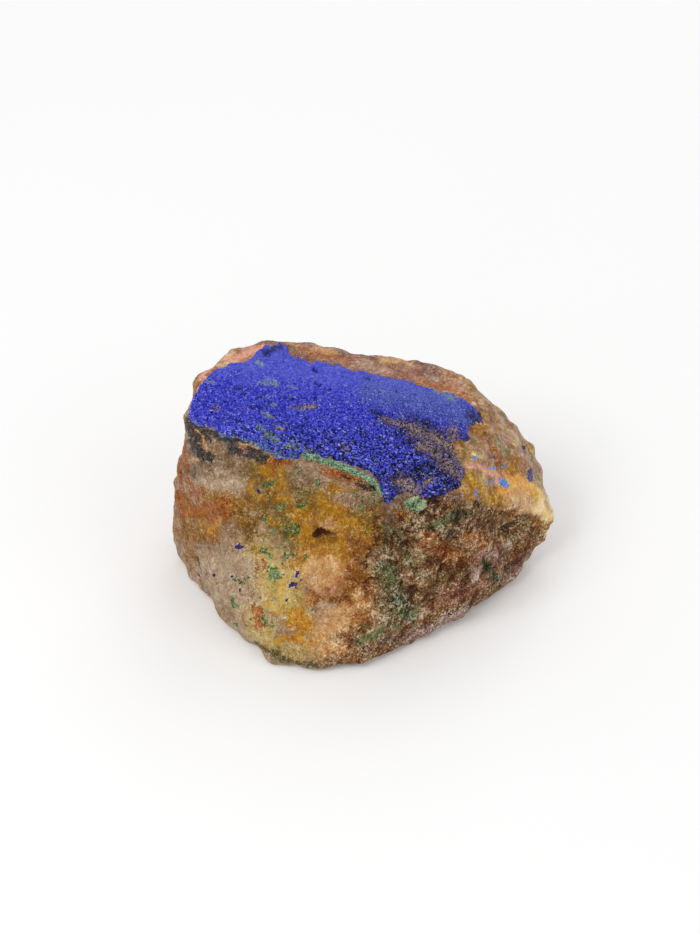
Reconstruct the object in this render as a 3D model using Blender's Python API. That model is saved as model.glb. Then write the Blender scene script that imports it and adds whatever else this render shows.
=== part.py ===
"""A hand specimen of vein quartz with an azurite crust and malachite, at its real size.

The stone is a broken block: the hull of its named corners, with rounded edges, swells, hollows, ledges and
a granular relief, cut off flat underneath, where it rests. The azurite is a thin druse that lies on the
sloping upper face. Malachite grows as a rim under the druse's front edge and as a small knob beside it.

Run it with: blender --background --python part.py
Lengths are in millimetres until the meshes are made. +X is to the right, +Y to the back and +Z up. The
origin is the middle of the underside.
"""

import bmesh
import bpy
import numpy as np
from mathutils import Matrix

MM = 0.001

# --- Driving dimensions, in millimetres --------------------------------------------------------------

# The broken corners of the block.
CORNERS = {
    # round the sloping upper face
    "crust_left": (-28.2, 1.8, 31.2),
    "crust_front": (3.0, -13.6, 25.4),
    "crust_right": (15.8, -9.9, 24.6),
    "shoulder_right": (18.5, 9.2, 26.6),
    "shoulder_back": (17.1, 18.9, 27.1),
    "ridge_back_right": (9.6, 20.8, 28.1),
    "ridge_back_middle": (-3.0, 20.2, 30.9),
    "ridge_back_left": (-12.2, 21.7, 33.0),
    "ledge_back_left": (-20.0, 22.8, 31.4),
    "ledge_left": (-26.3, 16.0, 30.4),
    "ledge_front_left": (-26.7, 7.4, 31.6),
    # down the left side and the back
    "left_upper": (-29.8, 5.8, 22.8),
    "left_middle": (-30.1, 5.4, 9.9),
    "left_foot": (-31.7, 3.5, 0.6),
    "back_left_middle": (-28.0, 17.5, 14.0),
    "back_left_foot": (-26.5, 16.0, 2.0),
    "back_middle": (-6.0, 21.5, 15.0),
    "back_foot": (-8.0, 20.6, 1.6),
    "back_right_middle": (18.0, 20.5, 14.0),
    "back_right_foot": (17.5, 17.8, 1.8),
    # the slope and the nose on the right
    "slope_upper": (22.0, 14.0, 22.4),
    "slope_middle": (26.2, 13.3, 18.4),
    "slope_lower": (29.4, 13.4, 15.7),
    "nose_upper": (29.6, 9.1, 12.0),
    "nose": (30.7, 6.0, 7.9),
    "nose_foot": (28.7, 3.4, 2.5),
    "brow": (22.2, -4.2, 16.9),
    # the front edge and the foot
    "front_edge": (0.6, -15.2, 16.0),
    "foot_left": (-27.2, 0.6, 1.4),
    "foot_low_left": (-21.6, -9.0, 1.4),
    "foot_front_left": (-16.3, -18.6, 1.2),
    "foot_front": (-14.0, -22.8, 1.2),
    "foot_front_right": (-1.8, -22.6, 1.2),
    "foot_right": (16.2, -11.4, 1.4),
    "foot_far_right": (28.2, 4.3, 1.4),
    # under the foot, where the rest is flat
    "rest_left": (-24.5, 3.0, -0.8),
    "rest_front_left": (-15.5, -14.0, -0.8),
    "rest_front": (-8.0, -18.5, -0.8),
    "rest_front_right": (1.0, -16.5, -0.8),
    "rest_right": (12.5, -8.0, -0.8),
    "rest_far_right": (23.5, 4.5, -0.8),
    "rest_back_right": (15.0, 14.5, -0.8),
    "rest_back": (-6.0, 17.5, -0.8),
    "rest_back_left": (-22.5, 13.5, -0.8),
}
HEART = np.array((0.0, 2.0, 14.0))  # the point that every surface point is seen from
EDGE_CONE = 0.03  # half angle in radians over which an edge is rounded
CHIPS = 40  # flat chips broken off the block's corners and edges
CHIP_DEPTHS = (0.3, 1.2)
CHIP_LEAN = 0.3  # chips face sideways or down, never up at the druse
CHIP_SEED = 11
STONE_CELLS = (31, 23, 18)  # faces of the stone's grid along X, Y and Z

# Swells (positive) and hollows (negative): centre, reach and height.
SWELLS = {
    "scoop_under_crust": ((-6.0, -7.0, 26.0), 7.0, -2.2),
    "shoulder_front_left": ((-18.0, -12.0, 8.0), 9.0, 1.2),
    "waist_front": ((-14.0, -10.0, 17.0), 7.0, -0.9),
    "nose_tip": ((31.0, 6.0, 8.5), 4.0, 0.8),
    "hollow_under_brow": ((24.0, -2.0, 11.0), 6.5, -2.0),
    "brow_lip": ((25.0, 0.0, 15.5), 4.0, 0.7),
    "notch_left": ((-30.5, 1.5, 3.0), 4.0, -1.2),
    "dip_left": ((-29.5, 3.0, 19.0), 5.0, 0.6),
    "scallop_slope": ((23.0, 3.0, 21.0), 5.0, -0.9),
    "knob_slope": ((24.0, 9.0, 20.0), 3.5, 0.6),
    "scallop_back_left": ((-20.0, 20.0, 22.0), 8.0, -2.0),
    "scallop_back": ((6.0, 21.0, 10.0), 8.5, -1.8),
    "swell_back": ((-10.0, 21.0, 8.0), 6.0, 0.8),
    "scallop_left": ((-29.0, 10.0, 8.0), 6.0, -1.0),
}

# Small nicks and bumps along the block's edges: place and height.
NICKS = (
    (22.1, 16.6, 22.6, -0.7),
    (-31.0, 4.8, 11.9, -0.3),
    (-14.2, -20.2, 0.8, 1.0),
    (-2.8, -21.3, 1.1, 0.4),
    (15.5, -10.4, 1.8, 1.1),
    (24.3, -1.4, 2.6, 1.1),
    (-28.4, 1.6, 30.4, 0.9),
    (-26.8, 13.8, 30.0, 1.3),
)
NICK_REACH = 3.2

# Ledges: a point on the step, the way that the raised side lies, the step's height and its reach.
LEDGES = {
    "block_lower_left": ((-20.0, -9.0, 8.0), (0.15, -0.4, -0.9), 0.9, 9.0),
    "step_right_face": ((12.0, -11.0, 9.0), (0.75, -0.3, 0.6), 0.8, 9.0),
    "step_back": ((-4.0, 21.0, 18.0), (0.3, 0.3, -0.9), 1.2, 10.0),
    "step_back_right": ((14.0, 20.0, 8.0), (0.9, 0.2, 0.3), 1.0, 8.0),
    "step_left": ((-30.0, 8.0, 16.0), (-0.2, 0.2, -0.95), 0.8, 8.0),
}
LEDGE_WIDTH = 0.9

# The edge of the azurite, seen from above, as four runs that meet at its corners.
CRUST_LEFT = (
    (-27.4, 2.2), (-26.2, 5.5), (-25.9, 8.1), (-24.9, 11.4), (-22.8, 12.6), (-21.4, 13.9),
    (-19.4, 13.7), (-17.7, 15.3), (-16.3, 18.1), (-14.2, 18.9),
)
CRUST_BACK = (
    (-14.2, 18.9), (-12.4, 18.9), (-11.6, 17.2), (-9.7, 16.9), (-7.1, 15.6), (-4.2, 15.5), (-1.4, 14.8),
    (1.9, 14.3), (5.8, 13.7), (9.0, 12.6), (12.2, 13.0), (14.6, 12.5), (16.2, 11.6), (17.4, 9.8),
    (18.5, 8.0),
)
CRUST_RIGHT = (
    (14.4, -9.2), (15.2, -7.0), (14.8, -4.4), (13.8, -2.8), (12.7, 0.5), (14.0, 2.4), (14.8, 4.5),
    (16.4, 4.7), (18.0, 6.6), (18.5, 8.0),
)
CRUST_FRONT = (
    (-27.4, 2.2), (-24.3, -0.4), (-22.1, -1.4), (-19.9, -2.1), (-17.7, -2.3), (-13.4, -2.6),
    (-8.0, -3.0), (-4.7, -3.6), (-1.2, -5.6), (1.1, -7.2), (2.6, -9.8), (3.6, -12.6), (5.7, -12.0),
    (6.6, -11.2), (8.5, -10.7), (9.5, -11.5), (10.8, -11.3), (12.8, -10.3), (14.4, -9.2),
)
CRUST_CELLS = (32, 20)  # faces of the druse's grid along its front and its side
CRUST_THICKNESS = 1.1
CRUST_EDGE_THICKNESS = 0.55
CRUST_LUMP = 0.32  # height of the druse's coarse lumps
CRUST_LUMP_SIZE = 2.4
CRUST_PLANE = (28.6, -0.133, 0.1235)  # its height over the origin, and its slopes along X and Y
CRUST_HANG = 3.0  # how far below that plane its edge may bend over the stone's
CRUST_ROOT = 1.2  # how far the druse dips before the stone is cut out of it

GROWTH_GAP = 0.3  # clear space between each growth and what it grows on

# Malachite: the rim's centre line under the druse's front edge, seen from above, with the rim's radius
# at each point, and the knob.
RIM_LINE = (
    (-11.7, -3.7, 0.5), (-9.1, -4.2, 0.8), (-5.8, -4.4, 1.0), (-3.0, -5.8, 1.0), (-0.8, -8.0, 0.9),
    (1.0, -9.6, 0.9), (2.2, -11.3, 0.9), (2.9, -12.7, 0.6),
)
RIM_RISE = 0.5  # how far the rim's middle lies above the stone's own surface there
RIM_STEPS = 22
RIM_SIDES = 8
KNOB_MIDDLE = (7.6, -12.3, 24.9)
KNOB_SIZE = (1.9, 1.3, 1.3)

# The crystal-lined vug in the front face.
VUG_MIDDLE = (-6.1, -12.8, 19.9)
VUG_SIZE = (2.2, 2.4, 1.2)
VUG_LEAN = 0.25

FINISHES = {
    "quartz": ((0.50, 0.36, 0.20), 0.45),
    "azurite": ((0.03, 0.03, 0.42), 0.55),
    "malachite": ((0.22, 0.50, 0.32), 0.65),
}


# --- Noise ------------------------------------------------------------------------------------------


def cell_values(cells, seed):
    """Three steady pseudo-random numbers from -1 to 1 for each whole-numbered cell."""
    mixed = cells.astype(np.int64) @ np.array((73856093, 19349663, 83492791)) + seed * 668265263
    mixed = (mixed ^ (mixed >> 13)) * 1274126177 & 0xFFFFFFFF
    mixed = (mixed ^ (mixed >> 16)) * 2246822519 & 0xFFFFFFFF
    return np.stack([((mixed >> shift) & 1023) / 511.5 - 1 for shift in (2, 11, 21)], axis=-1)


def smooth_noise(points, size, seed):
    """Gradient noise, about -1 to 1, whose lumps measure about size."""
    places = np.asarray(points) / size
    base = np.floor(places)
    inside = places - base
    fade = inside**3 * (inside * (inside * 6 - 15) + 10)
    total = np.zeros(len(places))
    for corner in np.ndindex(2, 2, 2):
        share = np.prod(np.where(corner, fade, 1 - fade), axis=1)
        slope = cell_values(base + corner, seed)
        total += share * np.sum(slope * (inside - corner), axis=1)
    return total * 1.6


def layered_noise(points, size, seed, layers=3):
    """Smooth noise with finer layers on it, each half as large and half as high as the one before."""
    return sum(smooth_noise(points, size / 2**k, seed + k) / 2**k for k in range(layers))


# --- The stone --------------------------------------------------------------------------------------


def unit(vectors):
    """The vectors at length 1."""
    return vectors / np.linalg.norm(vectors, axis=-1, keepdims=True)


def chip_planes(corners):
    """Planes that take flat chips off the block, as (outward normals, distances from HEART)."""
    chance = np.random.default_rng(CHIP_SEED)
    lean = chance.normal(size=(CHIPS, 3))
    normals = unit(np.column_stack((lean[:, :2], np.minimum(lean[:, 2], CHIP_LEAN))))
    reach = np.max((np.array(corners) - HEART) @ normals.T, axis=0)
    return normals, reach - chance.uniform(*CHIP_DEPTHS, CHIPS)


def hull_planes(corners):
    """The block's faces as (outward normals, distances from HEART)."""
    mesh = bmesh.new()
    for corner in corners:
        mesh.verts.new(corner)
    bmesh.ops.convex_hull(mesh, input=mesh.verts)
    faces = [(np.array(face.normal), np.array(face.verts[0].co)) for face in mesh.faces]
    mesh.free()
    normals = np.array([normal for normal, _ in faces])
    places = np.array([place for _, place in faces])
    distances = np.sum(normals * (places - HEART), axis=1)
    outward = np.sign(distances)
    return normals * outward[:, None], distances * outward


def block_planes(corners):
    """The planes of the block's faces and of its chips."""
    faces, chips = hull_planes(corners), chip_planes(corners)
    return tuple(np.concatenate(pair) for pair in zip(faces, chips, strict=True))


PLANES = block_planes(list(CORNERS.values()))


def block_distance(directions):
    """How far the block's flat faces lie from HEART along each direction."""
    normals, distances = PLANES
    return 1 / np.max(directions @ (normals / distances[:, None]).T, axis=1)


def rounded_distance(directions):
    """The block's distance, averaged over a narrow cone, which rounds its edges."""
    side = unit(np.cross(directions, (0.31, 0.52, 0.79)))
    other = np.cross(directions, side)
    total = block_distance(directions)
    rings = ((0.55, 6), (1.0, 8))
    for width, count in rings:
        for turn in np.arange(count) * 2 * np.pi / count + width:
            leaning = directions + EDGE_CONE * width * (np.cos(turn) * side + np.sin(turn) * other)
            total = total + block_distance(unit(leaning))
    return total / (1 + sum(count for _, count in rings))


def step(values, low, high):
    """0 below low, 1 above high, and smooth between."""
    share = np.clip((values - low) / (high - low), 0, 1)
    return share * share * (3 - 2 * share)


def under_crust(points):
    """1 where the druse lies, 0 away from it: inside its rough oval, on the upper face."""
    across = (points[:, 0] + 5.5) / 23.5
    deep = (points[:, 1] - 4.0 + 0.30 * (points[:, 0] + 5.5)) / 13.5
    return (1 - step(across**2 + deep**2, 0.8, 1.3)) * step(points[:, 2], 20, 24)


def crumbly(points):
    """1 on the coarse, weathered face to the front right, and 0 on the glassy face to the front left."""
    return step(points @ unit(np.array((0.85, -0.45, -0.25))), 2, 8)


def carved_relief(points):
    """Height that the swells, hollows, nicks and ledges add at each point."""
    height = np.zeros(len(points))
    nicks = [((x, y, z), NICK_REACH, rise) for x, y, z, rise in NICKS]
    for centre, reach, rise in [*SWELLS.values(), *nicks]:
        away = np.sum((points - centre) ** 2, axis=1) / reach**2
        height += rise * np.exp(-2 * away)
    for centre, raised_side, rise, reach in LEDGES.values():
        offset = points - centre
        across = offset @ unit(np.array(raised_side)) + 0.5 * smooth_noise(points, 3.0, 71)
        away = np.sum(offset**2, axis=1) / reach**2
        height += rise * (step(across, -LEDGE_WIDTH / 2, LEDGE_WIDTH / 2) - 0.5) * np.exp(-2 * away)
    return height


def grain_relief(points):
    """Height of the broken, granular surface, quieter where the druse lies."""
    broad = 0.9 * layered_noise(points, 11.0, 5)
    coarse = layered_noise(points, 4.5, 23, 2) * (0.45 + 0.45 * crumbly(points))
    return (broad + coarse) * (1 - 0.85 * under_crust(points))


def stone_surface(directions, grow=0.0):
    """The stone's surface points along these directions from HEART, moved out by grow."""
    points = HEART + directions * rounded_distance(directions)[:, None]
    height = carved_relief(points) + grain_relief(points) + grow
    points = points + directions * height[:, None]
    flat = -HEART[2] / np.minimum(directions[:, 2], -1e-6) + grow
    reach = np.linalg.norm(points - HEART, axis=1)
    return HEART + directions * np.minimum(reach, flat)[:, None]


def stone_height(plan):
    """Height of the stone's upper face over points of the plan, found by a few steps along the ray."""
    heights = np.full(len(plan), 28.0)
    for _ in range(6):
        aim = np.column_stack((plan, heights)) - HEART
        heights += (stone_surface(unit(aim)) - HEART - aim)[:, 2]
    return heights


def finish_mesh(mesh, name, finish):
    """The named object that this mesh in millimetres makes, with its own material."""
    bmesh.ops.recalc_face_normals(mesh, faces=mesh.faces)
    bmesh.ops.transform(mesh, matrix=Matrix.Scale(MM, 4), verts=mesh.verts)
    data = bpy.data.meshes.new(name)
    mesh.to_mesh(data)
    mesh.free()
    data.shade_smooth()
    data.set_sharp_from_angle(angle=np.radians(50))
    thing = bpy.data.objects.new(name, data)
    bpy.context.scene.collection.objects.link(thing)
    colour, roughness = FINISHES[finish]
    material = bpy.data.materials.new(name)
    material.use_nodes = True
    shader = material.node_tree.nodes["Principled BSDF"]
    shader.inputs["Base Color"].default_value = (*colour, 1)
    shader.inputs["Roughness"].default_value = roughness
    shader.inputs["Metallic"].default_value = 0
    data.materials.append(material)
    return thing


def stone_mesh(grow=0.0):
    """The stone as a grid on the six sides of its box, drawn in to its surface."""
    mesh = bmesh.new()
    low, high = np.min(list(CORNERS.values()), axis=0), np.max(list(CORNERS.values()), axis=0)
    grids = [np.linspace(-1, 1, cells + 1) for cells in STONE_CELLS]
    half = (high - low) / 2
    found = {}

    def corner_at(index):
        """The mesh vertex at this index of the box's grid."""
        if index not in found:
            found[index] = mesh.verts.new([grids[axis][index[axis]] * half[axis] for axis in range(3)])
        return found[index]

    for axis in range(3):
        first, second = (axis + 1) % 3, (axis + 2) % 3
        for end in (0, STONE_CELLS[axis]):
            for i in range(STONE_CELLS[first]):
                for j in range(STONE_CELLS[second]):
                    ring = []
                    for di, dj in ((0, 0), (1, 0), (1, 1), (0, 1)):
                        index = [0, 0, 0]
                        index[axis], index[first], index[second] = end, i + di, j + dj
                        ring.append(corner_at(tuple(index)))
                    mesh.faces.new(ring)
    places = np.array([vertex.co for vertex in mesh.verts])
    for vertex, place in zip(mesh.verts, stone_surface(unit(places), grow), strict=True):
        vertex.co = place
    return mesh


def cutter(mesh, name):
    """A hidden object made from this mesh, for cutting others."""
    thing = finish_mesh(mesh, name, "quartz")
    thing.hide_render = True
    thing.display_type = "WIRE"
    return thing


def cut(thing, tool):
    """Takes the tool's shape out of the thing."""
    boolean = thing.modifiers.new(f"cut by {tool.name}", "BOOLEAN")
    boolean.operation = "DIFFERENCE"
    boolean.solver = "EXACT"
    boolean.object = tool


def vug_cutter():
    """A rough, flattened ball that opens the vug."""
    mesh = bmesh.new()
    bmesh.ops.create_icosphere(mesh, subdivisions=2, radius=1)
    ball = np.array([vertex.co for vertex in mesh.verts])
    ball = ball * (1 + 0.22 * smooth_noise(ball, 0.8, 91))[:, None] * VUG_SIZE
    ball[:, 2] += VUG_LEAN * ball[:, 0] ** 2 / VUG_SIZE[0]
    for vertex, place in zip(mesh.verts, ball + VUG_MIDDLE, strict=True):
        vertex.co = place
    return cutter(mesh, "vug_cutter")


# --- The azurite ------------------------------------------------------------------------------------


def along(line, shares):
    """Points at these shares of the length of a line."""
    line = np.array(line)
    lengths = np.concatenate(([0], np.cumsum(np.linalg.norm(np.diff(line, axis=0), axis=1))))
    return np.column_stack([np.interp(shares * lengths[-1], lengths, axis) for axis in line.T])


def crust_plan():
    """The druse's grid seen from above: a Coons patch between its four edge runs."""
    u = np.linspace(0, 1, CRUST_CELLS[0] + 1)
    v = np.linspace(0, 1, CRUST_CELLS[1] + 1)
    front, back = along(CRUST_FRONT, u), along(CRUST_BACK, u)
    left, right = along(CRUST_LEFT, v), along(CRUST_RIGHT, v)
    across, deep = u[:, None, None], v[None, :, None]
    ruled = (1 - deep) * front[:, None] + deep * back[:, None]
    ruled = ruled + (1 - across) * left[None] + across * right[None]
    corners = (1 - across) * ((1 - deep) * front[0] + deep * back[0])
    corners = corners + across * ((1 - deep) * front[-1] + deep * back[-1])
    return (ruled - corners).reshape(-1, 2)


def crust_mesh(grow=0.0):
    """The druse: a lumpy sheet over the stone's upper face, thinner at its edge, that still dips into it."""
    nu, nv = CRUST_CELLS[0] + 1, CRUST_CELLS[1] + 1
    plan = crust_plan()
    u, v = np.meshgrid(np.linspace(0, 1, nu), np.linspace(0, 1, nv), indexing="ij")
    inward = np.minimum(np.minimum(u, 1 - u) * 1.6, np.minimum(v, 1 - v)).ravel()
    lowest = CRUST_PLANE[0] + plan @ np.array(CRUST_PLANE[1:]) - CRUST_HANG
    seat = np.maximum(stone_height(plan) + GROWTH_GAP, lowest)
    lumps = CRUST_LUMP * layered_noise(np.column_stack((plan, seat)), CRUST_LUMP_SIZE, 41, 2)
    body = step(inward, 0, 0.12)
    thickness = CRUST_EDGE_THICKNESS + (CRUST_THICKNESS - CRUST_EDGE_THICKNESS + lumps) * body
    if grow:
        middle = plan.mean(axis=0)
        plan = plan + unit(plan - middle) * grow
    mesh = bmesh.new()
    upper = [mesh.verts.new(p) for p in np.column_stack((plan, seat + thickness + grow))]
    lower = [mesh.verts.new(p) for p in np.column_stack((plan, seat - CRUST_ROOT))]
    for i in range(nu - 1):
        for j in range(nv - 1):
            ring = (i * nv + j, (i + 1) * nv + j, (i + 1) * nv + j + 1, i * nv + j + 1)
            mesh.faces.new([upper[k] for k in ring])
            mesh.faces.new([lower[k] for k in reversed(ring)])
    border = [i * nv for i in range(nu)] + [(nu - 1) * nv + j for j in range(1, nv)]
    border += [i * nv + nv - 1 for i in range(nu - 2, -1, -1)] + list(range(nv - 2, 0, -1))
    for a, b in zip(border, border[1:] + border[:1], strict=True):
        mesh.faces.new((lower[a], lower[b], upper[b], upper[a]))
    return mesh


# --- The malachite ----------------------------------------------------------------------------------


def rim_mesh():
    """The rim: a knobbly rod along RIM_LINE, closed at both ends."""
    rim = along(RIM_LINE, np.linspace(0, 1, RIM_STEPS))
    heights = stone_height(rim[:, :2]) + RIM_RISE
    middles = np.column_stack((rim[:, :2], heights))
    ahead = unit(np.gradient(middles, axis=0))
    side = unit(np.cross(ahead, (0.0, 0.0, 1.0)))
    rise = np.cross(side, ahead)
    turns = np.arange(RIM_SIDES) * 2 * np.pi / RIM_SIDES
    rings = np.cos(turns)[None, :, None] * side[:, None] + np.sin(turns)[None, :, None] * rise[:, None]
    places = middles[:, None] + rings * rim[:, 2][:, None, None]
    knobs = 0.3 * smooth_noise(places.reshape(-1, 3), 1.1, 57).reshape(RIM_STEPS, RIM_SIDES, 1)
    places = places + rings * knobs
    mesh = bmesh.new()
    verts = [[mesh.verts.new(p) for p in ring] for ring in places]
    for ring, following in zip(verts[:-1], verts[1:], strict=True):
        for k in range(RIM_SIDES):
            nxt = (k + 1) % RIM_SIDES
            mesh.faces.new((ring[k], ring[nxt], following[nxt], following[k]))
    mesh.faces.new(verts[0])
    mesh.faces.new(reversed(verts[-1]))
    return mesh


def knob_mesh():
    """The knob: a small lumpy cushion of malachite."""
    mesh = bmesh.new()
    bmesh.ops.create_icosphere(mesh, subdivisions=3, radius=1)
    ball = np.array([vertex.co for vertex in mesh.verts]) * KNOB_SIZE
    ball += unit(ball) * (0.35 * smooth_noise(ball, 1.2, 63))[:, None]
    for vertex, place in zip(mesh.verts, ball + KNOB_MIDDLE, strict=True):
        vertex.co = place
    return mesh


# --- The specimen -----------------------------------------------------------------------------------


def build():
    """Makes the stone, the azurite and the malachite."""
    for thing in list(bpy.data.objects):
        bpy.data.objects.remove(thing)
    stone = finish_mesh(stone_mesh(), "quartz_matrix", "quartz")
    cut(stone, vug_cutter())
    stone_room = cutter(stone_mesh(GROWTH_GAP), "stone_room")
    crust_room = cutter(crust_mesh(GROWTH_GAP), "crust_room")
    cut(finish_mesh(crust_mesh(), "azurite_crust", "azurite"), stone_room)
    for name, mesh in (("malachite_rim", rim_mesh()), ("malachite_knob", knob_mesh())):
        growth = finish_mesh(mesh, name, "malachite")
        cut(growth, stone_room)
        cut(growth, crust_room)


if __name__ == "__main__":
    build()
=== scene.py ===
"""A hand specimen of vein quartz with an azurite druse and malachite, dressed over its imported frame.

The stone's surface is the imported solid's own formula on a finer grid, with the broken, granular and bulbous
relief that a step away shows. The druse is a sheet of small crystals with flat faces, and the malachite is a
knobbly rim and a lump. Lengths are in millimetres until a mesh is made. Marks and outlines are places in the
camera's own 700 x 933 frame, and each is carried to the piece that it lies on. A noise's last number fixes
its random draw.
"""

import logging
from dataclasses import dataclass
from enum import Enum
from typing import Any, Protocol

import bmesh
import bpy
import numpy as np
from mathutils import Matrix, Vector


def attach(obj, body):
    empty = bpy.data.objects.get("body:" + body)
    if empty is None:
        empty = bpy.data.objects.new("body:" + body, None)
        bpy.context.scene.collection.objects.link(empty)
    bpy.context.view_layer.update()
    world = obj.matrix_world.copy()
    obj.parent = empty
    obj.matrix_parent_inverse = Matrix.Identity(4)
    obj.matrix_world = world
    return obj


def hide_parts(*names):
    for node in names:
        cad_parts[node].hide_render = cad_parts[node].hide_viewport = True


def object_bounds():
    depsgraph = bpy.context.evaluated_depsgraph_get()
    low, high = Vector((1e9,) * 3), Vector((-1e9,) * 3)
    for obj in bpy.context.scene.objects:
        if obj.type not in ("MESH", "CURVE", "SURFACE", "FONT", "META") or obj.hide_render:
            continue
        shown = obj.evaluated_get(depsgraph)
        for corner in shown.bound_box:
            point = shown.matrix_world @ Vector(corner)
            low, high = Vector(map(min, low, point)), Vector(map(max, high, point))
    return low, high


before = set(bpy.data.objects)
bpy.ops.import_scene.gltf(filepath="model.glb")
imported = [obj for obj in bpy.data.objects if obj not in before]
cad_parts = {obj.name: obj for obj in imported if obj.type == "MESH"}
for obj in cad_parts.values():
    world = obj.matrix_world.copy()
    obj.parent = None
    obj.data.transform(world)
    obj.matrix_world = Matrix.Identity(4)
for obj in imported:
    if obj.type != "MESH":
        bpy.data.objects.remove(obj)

CAD_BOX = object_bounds()
LOG = logging.getLogger("specimen")
MM = 0.001
FRAME_WIDTH, FRAME_HEIGHT = 700, 933

Triple = tuple[float, float, float]
Mark = tuple[float, ...]  # x, y, radius in pixels, or x, y, x, y, radius for a streak

# --- The stone's own formula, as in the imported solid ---

CORNERS = (
    # round the sloping upper face
    (-28.2, 1.8, 31.2), (3.0, -13.6, 25.4), (15.8, -9.9, 24.6), (18.5, 9.2, 26.6), (17.1, 18.9, 27.1),
    (9.6, 20.8, 28.1), (-3.0, 20.2, 30.9), (-12.2, 21.7, 33.0), (-20.0, 22.8, 31.4), (-26.3, 16.0, 30.4),
    (-26.7, 7.4, 31.6),
    # down the left side and the back
    (-29.8, 5.8, 22.8), (-30.1, 5.4, 9.9), (-31.7, 3.5, 0.6), (-28.0, 17.5, 14.0), (-26.5, 16.0, 2.0),
    (-6.0, 21.5, 15.0), (-8.0, 20.6, 1.6), (18.0, 20.5, 14.0), (17.5, 17.8, 1.8),
    # the slope and the nose on the right
    (22.0, 14.0, 22.4), (26.2, 13.3, 18.4), (29.4, 13.4, 15.7), (29.6, 9.1, 12.0), (30.7, 6.0, 7.9),
    (28.7, 3.4, 2.5), (22.2, -4.2, 16.9),
    # the front edge and the foot
    (0.6, -15.2, 16.0), (-27.2, 0.6, 1.4), (-21.6, -9.0, 1.4), (-16.3, -18.6, 1.2), (-14.0, -22.8, 1.2),
    (-1.8, -22.6, 1.2), (16.2, -11.4, 1.4), (28.2, 4.3, 1.4),
    # under the foot, where the rest is flat
    (-24.5, 3.0, -0.8), (-15.5, -14.0, -0.8), (-8.0, -18.5, -0.8), (1.0, -16.5, -0.8), (12.5, -8.0, -0.8),
    (23.5, 4.5, -0.8), (15.0, 14.5, -0.8), (-6.0, 17.5, -0.8), (-22.5, 13.5, -0.8),
)
HEART = np.array((0.0, 2.0, 14.0))
EDGE_CONE = 0.03
CHIPS, CHIP_DEPTHS, CHIP_LEAN, CHIP_SEED = 40, (0.3, 1.2), 0.3, 11
SWELLS = (
    # centre, reach and height of each swell or hollow
    ((-6.0, -7.0, 26.0), 7.0, -2.2), ((-18.0, -12.0, 8.0), 9.0, 1.2), ((-14.0, -10.0, 17.0), 7.0, -0.9),
    ((31.0, 6.0, 8.5), 4.0, 0.8), ((24.0, -2.0, 11.0), 6.5, -2.0), ((25.0, 0.0, 15.5), 4.0, 0.7),
    ((-30.5, 1.5, 3.0), 4.0, -1.2), ((-29.5, 3.0, 19.0), 5.0, 0.6), ((23.0, 3.0, 21.0), 5.0, -0.9),
    ((24.0, 9.0, 20.0), 3.5, 0.6), ((-20.0, 20.0, 22.0), 8.0, -2.0), ((6.0, 21.0, 10.0), 8.5, -1.8),
    ((-10.0, 21.0, 8.0), 6.0, 0.8), ((-29.0, 10.0, 8.0), 6.0, -1.0),
    ((22.1, 16.6, 22.6), 3.2, -0.7), ((-31.0, 4.8, 11.9), 3.2, -0.3), ((-14.2, -20.2, 0.8), 3.2, 1.0),
    ((-2.8, -21.3, 1.1), 3.2, 0.4), ((15.5, -10.4, 1.8), 3.2, 1.1), ((24.3, -1.4, 2.6), 3.2, 1.1),
    ((-28.4, 1.6, 30.4), 3.2, 0.9), ((-26.8, 13.8, 30.0), 3.2, 1.3),
)
LEDGES = (
    # a point on the step, the way the raised side lies, the step's height and its reach
    ((-20.0, -9.0, 8.0), (0.15, -0.4, -0.9), 0.9, 9.0), ((12.0, -11.0, 9.0), (0.75, -0.3, 0.6), 0.8, 9.0),
    ((-4.0, 21.0, 18.0), (0.3, 0.3, -0.9), 1.2, 10.0), ((14.0, 20.0, 8.0), (0.9, 0.2, 0.3), 1.0, 8.0),
    ((-30.0, 8.0, 16.0), (-0.2, 0.2, -0.95), 0.8, 8.0),
)
LEDGE_WIDTH = 0.9
CRUST_PLANE = (28.6, -0.133, 0.1235)  # height over the middle, and its slopes to the right and to the back


# --- Numbers over whole arrays ---


def unit(vectors: np.ndarray) -> np.ndarray:
    """The vectors at length 1."""
    return vectors / np.linalg.norm(vectors, axis=-1, keepdims=True)


def step(values: np.ndarray, low: float, high: float) -> np.ndarray:
    """0 below low, 1 above high, and smooth between."""
    share = np.clip((values - low) / (high - low), 0, 1)
    return share * share * (3 - 2 * share)


PRIMES = np.array((73856093, 19349663, 83492791))
SEED_STEP = 668265263
SEED_STRAY = 0.42  # how far a grain's seed strays from the middle of its cell, in cells


def cell_keys(cells: np.ndarray, seed: int) -> np.ndarray:
    """A whole number for each whole-numbered cell, one row each."""
    return cells.astype(np.int64) @ PRIMES + seed * SEED_STEP


def cell_values(keys: np.ndarray) -> list[np.ndarray]:
    """Three steady pseudo-random numbers from -1 to 1 for each key: its bits, mixed twice."""
    mixed = (keys ^ (keys >> 13)) * 1274126177 & 0xFFFFFFFF
    mixed = (mixed ^ (mixed >> 16)) * 2246822519 & 0xFFFFFFFF
    return [((mixed >> shift) & 1023) / 511.5 - 1 for shift in (2, 11, 21)]


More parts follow.
